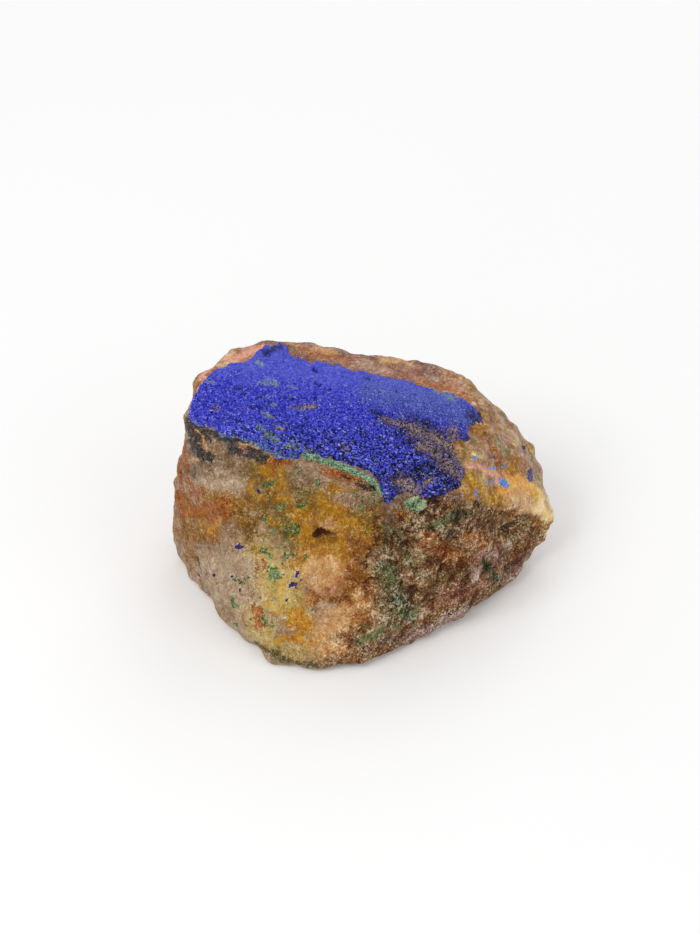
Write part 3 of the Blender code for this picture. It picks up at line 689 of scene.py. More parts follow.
def within_box(points: np.ndarray) -> np.ndarray:
    """The points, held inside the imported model's box."""
    low, high = np.array(CAD_BOX[0]) / MM, np.array(CAD_BOX[1]) / MM
    return np.clip(points, low + 0.001, high - 0.001)


class Finish(Protocol):
    """What a piece is dressed in."""

    def material(self) -> bpy.types.Material:
        """Its material."""


class Piece:
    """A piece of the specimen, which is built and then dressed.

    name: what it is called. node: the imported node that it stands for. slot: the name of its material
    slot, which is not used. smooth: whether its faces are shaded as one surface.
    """

    name: str
    node: str
    slot: str
    smooth: bool = False

    def build(self) -> bpy.types.Object:
        """The piece's object, which each kind of piece makes in its own way."""
        raise NotImplementedError

    def make(self, points: np.ndarray, faces: list, paint: dict[str, np.ndarray]) -> bpy.types.Object:
        """Makes an object at the origin.

        Args:
            points: one row each, in mm.
            faces: the index rings, counted anticlockwise from outside.
            paint: the attributes for the finish: one number a point, or three for a colour.

        Returns:
            The object, linked to the scene.
        """
        data = bpy.data.meshes.new(self.name)
        data.from_pydata((within_box(points) * MM).tolist(), [], faces)
        data.polygons.foreach_set("use_smooth", np.full(len(data.polygons), self.smooth))
        for label, values in paint.items():
            if values.ndim == 2:
                layer = data.attributes.new(label, "FLOAT_COLOR", "POINT")
                full = np.column_stack((np.clip(values, 0, 1), np.ones(len(values))))
                layer.data.foreach_set("color", full.astype(np.float32).ravel())
            else:
                layer = data.attributes.new(label, "FLOAT", "POINT")
                layer.data.foreach_set("value", values.astype(np.float32))
        data.update()
        thing = bpy.data.objects.new(self.name, data)
        bpy.context.scene.collection.objects.link(thing)
        return thing

    def dress(self, finish: Finish) -> None:
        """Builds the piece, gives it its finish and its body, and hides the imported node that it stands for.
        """
        piece = self.build()
        piece.data.materials.append(finish.material())
        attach(piece, "root")
        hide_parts(self.node)
        LOG.info("%s: %d faces", piece.name, len(piece.data.polygons))


def grid_faces(first: int, second: int, closed: bool) -> np.ndarray:
    """The quads of a grid of first by second points, row by row; closed joins last column to first."""
    rows, columns = np.arange(first - 1)[:, None] * second, np.arange(second if closed else second - 1)
    after = (columns + 1) % second
    ring = (rows + columns, rows + after, rows + second + after, rows + second + columns)
    return np.stack([corner.ravel() for corner in ring], axis=1)


def fans(rings: int, around: int) -> list[list[int]]:
    """Triangles that close a tube of rings with a point before its first ring and one after its last."""
    here = np.arange(around)
    after = (here + 1) % around
    last = (rings - 1) * around
    top, bottom = rings * around, rings * around + 1
    near = np.column_stack((np.full(around, top), after, here))
    far = np.column_stack((np.full(around, bottom), last + here, last + after))
    return near.tolist() + far.tolist()


# --- The stone ---


@dataclass
class Regions:
    """How far each point belongs to each side of the stone, from 0 to 1."""

    crumb: np.ndarray  # the weathered face to the front right
    slope: np.ndarray  # the glossy slope at the upper right
    strip: np.ndarray  # the upper face behind the druse
    behind: np.ndarray  # the sides away from the camera
    front: np.ndarray  # the glassy face to the front left


def regions(points: np.ndarray) -> Regions:
    """Tells the stone's sides apart by place, with a little noise where two meet."""
    stray = 0.8 * smooth_noise(points, 3.0, 401)
    away = points - HEART
    slope = step(away @ SLOPE_SIDE + stray, -0.9, 0.9) * step(points[:, 0] + stray, 12, 15)
    level = points[:, 2] - CRUST_PLANE[0] - points[:, :2] @ np.array(CRUST_PLANE[1:])
    strip = step(level + 0.6 * stray, -2.6, -1.0) * step(points[:, 1] + stray, 3, 6) * (1 - slope)
    crumb = step(points @ WEATHERED_SIDE + stray, 2.2, 5.5) * (1 - slope) * (1 - strip)
    rest = (1 - crumb) * (1 - slope) * (1 - strip)
    behind = rest * step(points[:, 1] + stray, 3, 8)
    return Regions(crumb, slope, strip, behind, rest - behind)


def druse_bed(points: np.ndarray) -> np.ndarray:
    """1 well inside the druse's place on the upper face, where nothing of the stone shows, and 0 outside."""
    across = (points[:, 0] + 6.5) / 22.0
    deep = (points[:, 1] - 4.5 + 0.28 * (points[:, 0] + 6.5)) / 12.0
    return (1 - step(across**2 + deep**2, 0.35, 0.75)) * step(points[:, 2], 20, 24)


TURN_STEPS, TILT_STEPS = 241, 180  # the sparse grid that the fine one is spread by
WALK, WALK_STEPS, HALVINGS = 45.0, 151, 6  # mm before and behind HEART, that a ray is walked in steps
FIRST_HEIGHT, HEIGHT_ROUNDS = 28.0, 6  # where the search for the upper face starts, and its rounds


@dataclass
class Stone(Piece):
    """The vein quartz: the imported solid's surface on a fine grid round HEART, with its broken relief.

    columns and rows: the grid, round the upright axis and from the top to the underside. back_share: how
    thinly columns are laid behind, against the front. sparse: how thinly rows are laid under the druse and
    on the flat rest. glassy_ripple to small_bulb: heights of each kind of relief, in mm. deepness: how much
    the front's colours are deepened. vug_across and vug_ahead: the vug's level axes.
    """

    columns: int = 620
    rows: int = 153
    back_share: float = 0.62
    sparse: float = 0.10
    glassy_ripple: float = 0.13
    glassy_facet: float = 0.16
    crumb: float = 0.52
    small_crumb: float = 0.34
    bulb: float = 0.62
    small_bulb: float = 0.28
    deepness: float = 0.16
    vug_middle: Triple = (-6.1, -13.2, 19.9)
    vug_across: Triple = (0.93, -0.37, 0.0)
    vug_ahead: Triple = (-0.37, -0.93, 0.0)
    vug_half_width: float = 2.15
    vug_half_height: float = 1.15
    vug_depth: float = 1.5
    name: str = "quartz_stone"
    node: str = "quartz_matrix"
    slot: str = "quartz"
    smooth: bool = True

    def relief(self, points: np.ndarray) -> np.ndarray:
        """Fine height in mm: ripples and flat facets on the glassy face, round crumbs on the weathered one,
        smooth bulbs on the slope, a mixture of the three behind, and a pit for the vug.

        A crumb is 0.5 less the distance to its seed and a bulb 0.45 less its square, which leaves a crease
        between neighbours. A facet is the offset from its seed times a random tilt. Crumbs fade at the foot.
        """
        sides = regions(points)
        ripple = layered_noise(points, 1.7, 411)
        facet = grains(points + 0.3 * ripple[:, None], 2.3, 421)
        glassy = self.glassy_ripple * ripple + self.glassy_facet * facet.tilt
        bent = points + 0.4 * ripple[:, None]
        large, small = grains(bent, 1.9, 431), grains(bent, 0.95, 441)
        foot = 0.3 + 0.7 * step(points[:, 2], 1, 6)
        crumbs = self.crumb * (0.5 - large.near + 0.5 * large.tilt) + self.small_crumb * (0.5 - small.near)
        crumbs = (crumbs + 0.32 * smooth_noise(points, 3.4, 435) + 0.12 * ripple) * foot
        big, little = grains(points + 0.6 * ripple[:, None], 3.0, 451), grains(bent, 1.35, 461)
        bulbs = self.bulb * (0.45 - big.near**2) + self.small_bulb * (0.4 - little.near**2) + 0.05 * ripple
        patch = step(smooth_noise(points, 9.0, 471), -0.25, 0.25)
        other = step(smooth_noise(points, 7.0, 481), -0.1, 0.35)
        rough = 0.4 * crumbs + 0.3 * glassy
        mixed = patch * (0.35 * bulbs + glassy) + (1 - patch) * (other * rough + (1 - other) * 1.4 * glassy)
        height = sides.crumb * crumbs + sides.slope * bulbs + sides.behind * mixed + sides.front * glassy
        height = height + sides.strip * (0.6 * glassy + 0.10 * ripple)
        return height * (1 - 0.8 * druse_bed(points)) - self.vug_depth * self.vug(points)

    def vug(self, points: np.ndarray) -> np.ndarray:
        """1 inside the vug's mouth and 0 outside: an oval with a jagged upper edge."""
        away = points - np.array(self.vug_middle)
        across = away @ np.array(self.vug_across) / self.vug_half_width
        up = away[:, 2] / self.vug_half_height + 0.35 * smooth_noise(points, 0.9, 491)
        deep = step(np.abs(away @ np.array(self.vug_ahead)), 3.5, 5.0)
        return (1 - step(across**2 + up**2, 0.8, 1.1)) * (1 - deep)

    def surface(self, directions: np.ndarray) -> np.ndarray:
        """The surface along these directions from HEART, cut flat at the rest."""
        points = solid_surface(directions)
        points = points + directions * self.relief(points)[:, None]
        flat = -HEART[2] / np.minimum(directions[:, 2], -1e-6)
        reach = np.linalg.norm(points - HEART, axis=1)
        return HEART + directions * np.minimum(reach, flat)[:, None]

    def fullness(self, points: np.ndarray) -> np.ndarray:
        """How far out each point lies: under 1 inside the stone, and over 1 outside."""
        away = points - HEART
        reach = np.linalg.norm(self.surface(unit(away)) - HEART, axis=1)
        return np.linalg.norm(away, axis=1) / reach

    def height(self, plan: np.ndarray) -> np.ndarray:
        """Height of the upper face over points of the plan, found by a few steps along the ray."""
        heights = np.full(len(plan), FIRST_HEIGHT)
        for _ in range(HEIGHT_ROUNDS):
            aim = np.column_stack((plan, heights)) - HEART
            heights += (self.surface(unit(aim)) - HEART - aim)[:, 2]
        return heights

    def spots(self, places: tuple[tuple[float, float], ...]) -> np.ndarray:
        """The surface points that show at these places of the frame.

        Each place's ray is walked until it is inside the stone, and that step is halved a few times. A ray
        that passes by gives its point nearest to the stone.
        """
        rays = VIEW.rays(np.array(places, float))
        far = np.linalg.norm(HEART - np.array(VIEW.place))
        walk = np.linspace(far - WALK, far + WALK, WALK_STEPS)
        path = np.array(VIEW.place) + rays[:, None] * walk[None, :, None]
        full = self.fullness(path.reshape(-1, 3)).reshape(path.shape[:2])
        first = np.where((full < 1).any(axis=1), np.argmax(full < 1, axis=1), np.argmin(full, axis=1))
        low, high = walk[first - 1], walk[first]
        for _ in range(HALVINGS):
            middle = (low + high) / 2
            inside = self.fullness(np.array(VIEW.place) + rays * middle[:, None]) < 1
            low, high = np.where(inside, low, middle), np.where(inside, middle, high)
        return np.array(VIEW.place) + rays * high[:, None]

    def turns(self) -> np.ndarray:
        """The columns' turns round the upright axis, closer together towards the camera."""
        turns = np.linspace(0, 2 * np.pi, TURN_STEPS)
        girth = solid_surface(np.column_stack((np.cos(turns), np.sin(turns), 0 * turns)))
        pace = np.linalg.norm(np.diff(girth, axis=0), axis=1)
        behind = step((girth[1:, 1] + girth[:-1, 1]) / 2, 2, 10)
        lengths = np.concatenate(([0], np.cumsum(pace * (1 - (1 - self.back_share) * behind))))
        return np.interp(np.arange(self.columns) / self.columns * lengths[-1], lengths, turns)

    def directions(self) -> np.ndarray:
        """The grid's directions from HEART, row by row from the top.

        Tilts are spread by the length of each meridian, which counts less under the druse and on the flat
        rest. They are worked out on a sparse grid, and read in between.
        """
        turns = np.linspace(0, 2 * np.pi, TURN_STEPS)
        tilts = np.radians(np.linspace(1.0, 179.0, TILT_STEPS))
        across, down = np.meshgrid(turns, tilts, indexing="ij")
        rays = (np.cos(across) * np.sin(down), np.sin(across) * np.sin(down), np.cos(down))
        sparse = np.stack(rays, axis=-1).reshape(-1, 3)
        points = solid_surface(sparse)
        flat = HEART[2] / np.maximum(-sparse[:, 2], 1e-6)
        reach = np.linalg.norm(points - HEART, axis=1)
        points = HEART + sparse * np.minimum(reach, flat)[:, None]
        weight = 1 - (1 - self.sparse) * np.maximum(druse_bed(points), reach > flat)
        weight = weight.reshape(across.shape)
        pace = np.linalg.norm(np.diff(points.reshape(*across.shape, 3), axis=1), axis=2)
        pace = pace * (weight[:, 1:] + weight[:, :-1]) / 2
        run = np.column_stack((np.zeros(len(turns)), np.cumsum(pace, axis=1)))
        lane = 2 * np.arange(len(turns))[:, None]
        wanted = np.linspace(0, 1, self.rows)[None] + lane
        shares = run / run[:, -1:] + lane
        tilt = np.interp(wanted.ravel(), shares.ravel(), down.ravel()).reshape(wanted.shape)
        turn = self.turns()
        low = np.searchsorted(turns, turn, side="right") - 1
        share = ((turn - turns[low]) / (turns[1] - turns[0]))[:, None]
        tilt = ((1 - share) * tilt[low] + share * tilt[low + 1]).T
        rays = (np.cos(turn) * np.sin(tilt), np.sin(turn) * np.sin(tilt), np.cos(tilt))
        return np.stack(rays, axis=-1).reshape(-1, 3)

    def base_colour(self, points: np.ndarray, sides: Regions) -> np.ndarray:
        """Each side's own mottled colour, before anything is laid on it."""
        broad = layered_noise(points, 6.0, 501)
        mottle = layered_noise(points, 2.2, 511)
        vein = 1 - np.abs(layered_noise(points + 1.2 * mottle[:, None], 5.0, 521))
        front = between(Tint.MAUVE, Tint.PALE, 0.5 + 0.8 * mottle)
        front = over(front, Tint.OCHRE, 0.5 * step(broad, 0.1, 0.6))
        crumb = between(Tint.BARK, Tint.TAN, 0.55 + mottle)
        crumb = over(crumb, Tint.MOSS, 0.5 * step(broad + 0.5 * mottle, 0.0, 0.6))
        crumb = over(crumb, Tint.SAGE, 0.5 * step(mottle, 0.25, 0.6))
        crumb = over(crumb, Tint.PEACH, 0.35 * step(-mottle, 0.3, 0.7))
        slope = between(Tint.BRONZE, Tint.ROSE, 0.5 + mottle)
        slope = over(slope, Tint.OCHRE, 0.8 * step(broad, -0.2, 0.4))
        slope = over(slope, Tint.PEACH, 0.5 * step(-mottle, 0.2, 0.7))
        strip = between(Tint.PLUM, Tint.ROSE, 0.6 + 0.8 * mottle)
        behind = between(Tint.MAUVE, Tint.PALE, 0.5 + 0.7 * mottle)
        behind = over(behind, Tint.BRONZE, 0.85 * step(broad, -0.25, 0.35))
        behind = over(behind, Tint.OCHRE, 0.8 * step(vein + 0.4 * mottle, 0.75, 1.0))
        behind = over(behind, Tint.RUST, 0.7 * step(vein + 0.5 * broad, 0.95, 1.2))
        behind = over(behind, Tint.ROSE, 0.6 * step(-broad, 0.15, 0.6))
        return (
            sides.front[:, None] * front
            + sides.crumb[:, None] * crumb
            + sides.slope[:, None] * slope
            + sides.strip[:, None] * strip
            + sides.behind[:, None] * behind
        )

    def paint(self, points: np.ndarray) -> dict[str, np.ndarray]:
        """The attributes for the finish: a soft colour, a stain and how far it soaks in, closeness to each
        kind of mark, the height of the fine relief, which the finish turns into painted shade and light, and
        the sides. The vug's marks are laid on the surface as it would be without the vug."""
        sides = regions(points)
        soft, crisp = Canvas(points, 0.9, 3.4), Canvas(points)
        mottle = layered_noise(points, 1.6, 531)
        colour = self.base_colour(points, sides)
        for wash in (*ZONES, *SLOPE_ZONES, *TOP_ZONES):
            share = step(soft.closeness(wash.marks) + 0.3 * mottle, -0.6 * wash.fade, wash.fade)
            colour = over(colour, wash.tint, wash.strength * share)
        stain = np.tile(Tint.OCHRE.linear, (len(points), 1))
        soak = 0.35 * sides.behind * step(mottle, 0.1, 0.7)
        for wash in STAINS:
            share = step(soft.closeness(wash.marks) + 0.15 * mottle, -0.9 * wash.fade, 1.0)
            stain = over(stain, wash.tint, np.minimum(3 * share, 1))
            soak = np.maximum(soak, wash.strength * share)
        deepness = (1 + self.deepness * sides.front)[:, None]
        colour, stain = colour**deepness, stain**deepness
        height = self.relief(points)
        inside = self.vug(points)
        mouth = Canvas(points + (self.vug_depth * inside)[:, None] * unit(points - HEART), 0.1, 0.8)
        return {
            "wash": colour,
            "stain": stain,
            "soak": soak,
            "den": mouth.closeness(VUG_MOUTH),
            "floor": mouth.closeness(VUG_FLOOR),
            "brow": mouth.closeness(VUG_BROW),
            "malachite": crisp.closeness(GREEN_SPECKS),
            "azurite": crisp.closeness(BLUE_SPECKS),
            "sky": crisp.closeness(SKY_SPECKS),
            "oxide": crisp.closeness(OXIDE_PATCHES),
            "tan": crisp.closeness(TAN_STREAKS),
            "steel": crisp.closeness(STEEL_STREAKS),
            "height": height + self.vug_depth * inside,
            "crumb": sides.crumb + 0.5 * sides.behind * step(mottle, -0.2, 0.3),
            "gloss": sides.slope + 0.3 * sides.front + 0.35 * sides.strip + 0.3 * sides.behind,
        }

    def build(self) -> bpy.types.Object:
        """The stone: a point at each pole and the grid between them."""
        points = self.surface(self.directions())
        poles = self.surface(np.array(((0.0, 0.0, 1.0), (0.0, 0.0, -1.0))))
        points = within_box(np.concatenate((points, poles)))
        faces = grid_faces(self.rows, self.columns, True)[:, ::-1].tolist()
        faces += [ring[::-1] for ring in fans(self.rows, self.columns)]
        return self.make(points, faces, self.paint(points))


# --- The druse ---

# The druse's outline in the frame, in four runs that share their corners
DRUSE_LEFT = (
    (184, 415), (188, 408), (194, 396), (200, 387), (206, 380), (214, 374), (226, 369), (236, 367),
    (246, 366), (253, 359), (260, 352), (263, 348),
)
DRUSE_BACK = (
    (263, 348), (275, 346), (287, 345), (290, 353), (300, 358), (312, 361), (326, 364), (344, 368),
    (360, 372), (376, 376), (392, 380), (408, 384), (424, 389), (440, 393), (450, 396), (458, 402),
    (465, 407), (471, 410),
)
DRUSE_RIGHT = (
    (462, 486), (465, 474), (461, 462), (456, 450), (456, 441), (463, 440), (469, 436), (470, 428),
    (477, 422), (481, 416), (471, 410),
)
DRUSE_FRONT = (
    (184, 415), (188, 423), (197, 426), (208, 428), (217, 431), (226, 437), (240, 439), (252, 442),
    (262, 447), (271, 453), (280, 457), (296, 460), (313, 458), (330, 461), (345, 464), (357, 468),
    (370, 473), (378, 479), (381, 488), (385, 502), (391, 503), (396, 498), (402, 495), (412, 497),
    (422, 499), (434, 499), (444, 496), (451, 492), (457, 492), (463, 486),
)
PITS = (
    (236, 385, 249, 387, 2.2), (240, 392, 246, 392, 1.2), (259, 395, 263, 395, 2), (265, 400, 268, 401, 1.4),
    (285, 396, 293, 398, 1.8), (251, 405, 261, 407, 2.6), (223, 400, 229, 401, 1.6),
    (213, 406, 219, 407, 1.4), (299, 424, 305, 424, 2.2), (316, 396, 1.6), (316, 446, 322, 446, 2),
    (313, 367, 317, 370, 1.6), (313, 380, 320, 383, 1.6), (366, 377, 369, 377, 1.4), (397, 389, 1.4),
    (426, 427, 5), (451, 433, 2), (385, 420, 2), (437, 450, 3), (371, 447, 2), (344, 444, 350, 450, 1.6),
    (333, 428, 1.6), (264, 348, 268, 352, 3), (402, 402, 1.4), (408, 440, 3), (418, 452, 3), (362, 427, 2),
    (352, 437, 1.6), (234, 416, 245, 420, 1.4), (188, 418, 198, 422, 1.4), (290, 404, 1.2), (343, 376, 1.4),
    (330, 388, 1.4), (402, 372, 1.4), (380, 391, 1.4),
)
BARE_PATCHES = (
    (299, 405, 314, 405, 3), (290, 406, 298, 406, 1.2), (344, 444, 350, 450, 1.8), (214, 406, 219, 407, 2),
    (384, 418, 398, 422, 3), (398, 420, 420, 430, 4), (415, 428, 440, 440, 7), (435, 438, 457, 445, 9),
    (452, 430, 457, 460, 6), (436, 452, 450, 464, 7), (402, 480, 414, 488, 7), (446, 464, 458, 472, 5),
    (432, 446, 420, 444, 5), (460, 470, 4), (276, 427, 282, 428, 2), (266, 413, 272, 415, 2),
    (424, 482, 432, 478, 3),
)
DARK_PATCHES = (
    (412, 428, 448, 448, 16), (440, 462, 456, 484, 14), (396, 480, 426, 470, 11), (404, 424, 430, 424, 7),
    (472, 414, 480, 418, 6), (376, 412, 390, 420, 5), (266, 350, 280, 345, 3),
)
SLATE_PATCHES = ((372, 390, 452, 404, 12), (410, 402, 462, 416, 9), (470, 416, 476, 424, 6))
# Rows of the frame between which the druse takes its far look, on a slant from a column, and its front one
FAR_ROWS, FAR_SLANT, FAR_COLUMN = (396, 356), 0.13, 200
FRONT_ROWS = (405, 455)
VERDIGRIS = (
    (256, 380, 278, 383, 3), (288, 384, 297, 386, 2), (299, 407, 304, 409, 2.4), (207, 379, 214, 381, 3),
    (272, 403, 276, 405, 3), (258, 424, 264, 428, 4), (264, 432, 276, 438, 5), (288, 444, 296, 448, 4),
    (292, 440, 300, 442, 3), (306, 450, 316, 456, 4), (266, 412, 270, 416, 3), (436, 389, 452, 396, 4),
    (380, 420, 2), (384, 404, 2), (258, 361, 264, 364, 3), (266, 395, 2.4), (190, 419, 198, 421, 2),
    (238, 436, 262, 440, 2), (276, 448, 282, 452, 3), (228, 366, 2), (290, 395, 2),
)


@dataclass
class Druse(Piece):
    """The azurite: a sheet of small crystals over the upper face, thin and ragged at its edge.

    across and deep: its grid. few: the sparser grid that its seat is found on. thickness: its body. lump and
    small_lump: heights of its swells. crystal: the size of a crystal. pit and pore: how deep they are. sink:
    how far its hidden edge lies in the stone. brow: how far below the upper face's plane the stone may fall
    before the druse ends. length: its reach from left to right. back_ramp: how gently it rises from its back
    edge, against the others. tuck: how far its closing skirt is drawn in and down. keel: how far below the
    skirt it is drawn together. heart: its middle, from above.
    """

    stone: Stone
    across: int = 396
    deep: int = 238
    few: tuple[int, int] = (160, 96)
    thickness: float = 0.85
    lump: float = 0.30
    small_lump: float = 0.18
    crystal: float = 0.36
    pit: float = 0.55
    pore: float = 0.30
    sink: float = 0.40
    brow: float = 3.2
    length: float = 46.0
    back_ramp: float = 0.55
    tuck: tuple[float, float] = (1.6, 1.0)
    keel: float = 1.5
    heart: tuple[float, float] = (-5.0, 3.5)
    name: str = "azurite_druse"
    node: str = "azurite_crust"
    slot: str = "azurite"

    def lowest(self, plan: np.ndarray) -> np.ndarray:
        """The lowest height at which the druse still lies, over points of the plan."""
        return CRUST_PLANE[0] + plan @ np.array(CRUST_PLANE[1:]) - self.brow

    def run(self, outline: tuple[tuple[float, float], ...], count: int) -> np.ndarray:
        """One run of the outline over the plan, drawn in to where the stone's brow is.

        Args:
            outline: places of the frame.
            count: how many points to lay along it.

        Returns:
            The points, seen from above.
        """
        line = along(tuple(self.stone.spots(outline)[:, :2]), np.linspace(0, 1, count))
        shares = np.linspace(0, 0.3, 31)
        places = line[:, None] + shares[None, :, None] * (np.array(self.heart) - line)[:, None]
        flat = places.reshape(-1, 2)
        stands = (self.stone.height(flat) > self.lowest(flat)).reshape(places.shape[:2])
        return places[np.arange(count), np.argmax(stands, axis=1)]

    def plan(self, runs: tuple[np.ndarray, ...], across: int, deep: int) -> np.ndarray:
        """The sheet seen from above: a Coons patch between its four edge runs, row by row."""
        u, v = np.linspace(0, 1, across), np.linspace(0, 1, deep)
        left, back, right, front = runs
        front, back = along(front, u)[:, None], along(back, u)[:, None]
        left, right = along(left, v)[None], along(right, v)[None]
        u, v = u[:, None, None], v[None, :, None]
        ruled = (1 - v) * front + v * back + (1 - u) * left + u * right
        corners = (1 - u) * ((1 - v) * front[0, 0] + v * back[0, 0])
        return ruled - corners - u * ((1 - v) * front[-1, 0] + v * back[-1, 0])

    def seat(self, runs: tuple[np.ndarray, ...]) -> np.ndarray:
        """The stone's height under the sheet, read between the points of a sparser grid."""
        columns, rows = self.few
        sparse = self.plan(runs, columns, rows).reshape(-1, 2)
        heights = np.maximum(self.stone.height(sparse), self.lowest(sparse)).reshape(columns, rows)
        u, v = np.linspace(0, columns - 1, self.across), np.linspace(0, rows - 1, self.deep)
        i, j = np.minimum(u.astype(int), columns - 2), np.minimum(v.astype(int), rows - 2)
        s, t = (u - i)[:, None], (v - j)[None]
        near = (1 - t) * heights[i][:, j] + t * heights[i][:, j + 1]
        far = (1 - t) * heights[i + 1][:, j] + t * heights[i + 1][:, j + 1]
        return (1 - s) * near + s * far

    def build(self) -> bpy.types.Object:
        """The druse. Its height over the seat is the body's, less towards the edge, with lumps, crystals,
        pits and pores. A crystal is a small hill with a random flat tilt, and gaps lie between crystals."""
        outlines = ((DRUSE_LEFT, 60), (DRUSE_BACK, 120), (DRUSE_RIGHT, 60), (DRUSE_FRONT, 120))
        runs = tuple(self.run(*outline) for outline in outlines)
        plan, seat = self.plan(runs, self.across, self.deep), self.seat(runs)
        flat = np.column_stack((plan.reshape(-1, 2), seat.ravel()))
        u = np.linspace(0, 1, self.across)[:, None] + 0 * seat
        v = np.linspace(0, 1, self.deep)[None] + 0 * seat
        depth = np.linalg.norm(plan[:, -1] - plan[:, 0], axis=1)[:, None]
        sideways = np.minimum(u, 1 - u) * self.length
        inward = np.minimum(sideways, np.minimum(v, self.back_ramp * (1 - v)) * depth).ravel()
        canvas = Canvas(flat + (0, 0, self.thickness), 0.25)
        ragged = 0.40 * layered_noise(flat, 1.3, 601) + 0.25 * smooth_noise(flat, 0.5, 611)
        body = step(inward - 0.35 - ragged, -0.25, 0.25)
        column, row = canvas.seen[:, 0], canvas.seen[:, 1]
        slanted = row + FAR_SLANT * (FAR_COLUMN - column)
        far = step(slanted + 6 * layered_noise(flat, 3.0, 615), *FAR_ROWS)
        front = step(row + 4 * layered_noise(flat, 3.0, 617), *FRONT_ROWS)
        coarse = 0.85 - 0.62 * far
        swirl = flat + 0.2 * smooth_noise(flat, 1.5, 621)[:, None]
        first = grains(swirl, (1.15 * self.crystal, 0.9 * self.crystal, self.crystal), 631)
        second = grains(flat, 0.5 * self.crystal, 641)
        crystal = 0.34 * (0.45 - first.near) + 0.50 * first.tilt + 0.14 * first.chance[0]
        crystal = crystal + 0.18 * (0.45 - second.near)
        lumps = self.lump * layered_noise(flat, 2.4, 41, 2)
        lumps = lumps + self.small_lump * layered_noise(flat, 1.1, 651, 2)
        pits = step(canvas.closeness(PITS) + 0.4 * smooth_noise(flat, 0.5, 661), -0.2, 0.5)
        pores = step(smooth_noise(flat, 0.9, 671), 0.55, 0.85) * (1 - far)
        height = self.thickness + lumps + coarse * crystal - self.pit * pits - self.pore * pores
        top = seat.ravel() + body * (height + self.sink) - self.sink
        points = within_box(np.column_stack((plan.reshape(-1, 2), top)))
        paint = {
            "chance": 0.5 + 0.5 * first.chance[1],
            # gap and tip drive the finish's painted shade in the gaps and its painted light and shade on the
            # crystals.
            "gap": np.clip(step(-crystal, -0.04, 0.20) * coarse + pits + 0.6 * pores, 0, 1),
            "tip": crystal,
            "bare": canvas.closeness(BARE_PATCHES),
            "slate": canvas.closeness(SLATE_PATCHES),
            "far": far,
            "front": front,
            "dark": step(canvas.closeness(DARK_PATCHES), -0.6, 0.7),
            "verdigris": canvas.closeness(VERDIGRIS),
            "steel": canvas.closeness(STEEL_STREAKS),
        }
        return self.close(points, seat, plan, paint)

    def close(
        self, points: np.ndarray, seat: np.ndarray, plan: np.ndarray, paint: dict[str, np.ndarray]
    ) -> bpy.types.Object:
        """Closes the sheet: its border is carried in and down into the stone and drawn together in one point.

        Args:
            points: the sheet's own points, in mm.
            seat: the stone's height under it.
            plan: the sheet seen from above.
            paint: the attributes of its points.

        Returns:
            The object.
        """
        index = np.arange(self.across * self.deep).reshape(self.across, self.deep)
        border = np.concatenate((index[:, 0], index[-1, 1:], index[-2::-1, -1], index[0, -2:0:-1]))
        edge = plan.reshape(-1, 2)[border]
        inward = self.tuck[0] * unit(np.array(self.heart) - edge)
        below = np.column_stack((edge + inward, seat.ravel()[border] - self.sink - self.tuck[1]))
        middle = below.mean(axis=0) - (0, 0, self.keel)
        count = len(points)
        here = count + np.arange(len(border))
        after = np.roll(here, -1)
        sides = np.column_stack((here, after, np.roll(border, -1), border))
        under = np.column_stack((after, here, np.full(len(border), count + len(border))))
        sheet = grid_faces(self.across, self.deep, False)[:, ::-1]
        faces = sheet.tolist() + sides.tolist() + under.tolist()
        points = np.concatenate((points, below, middle[None]))
        extra = len(border) + 1
        paint = {label: np.concatenate((values, np.zeros(extra))) for label, values in paint.items()}
        return self.make(points, faces, paint)


# --- The malachite ---

# The middle line of the malachite along the druse's front edge: places of the frame
RIM_LINE = (
    (276, 452), (292, 455), (308, 457), (318, 459), (330, 463), (345, 468), (358, 474), (369, 479),
    (376, 485), (380, 492), (382, 498),
)
RIM_RADII = (0.12, 0.24, 0.42, 0.48, 0.46, 0.44, 0.46, 0.44, 0.44, 0.40, 0.16)


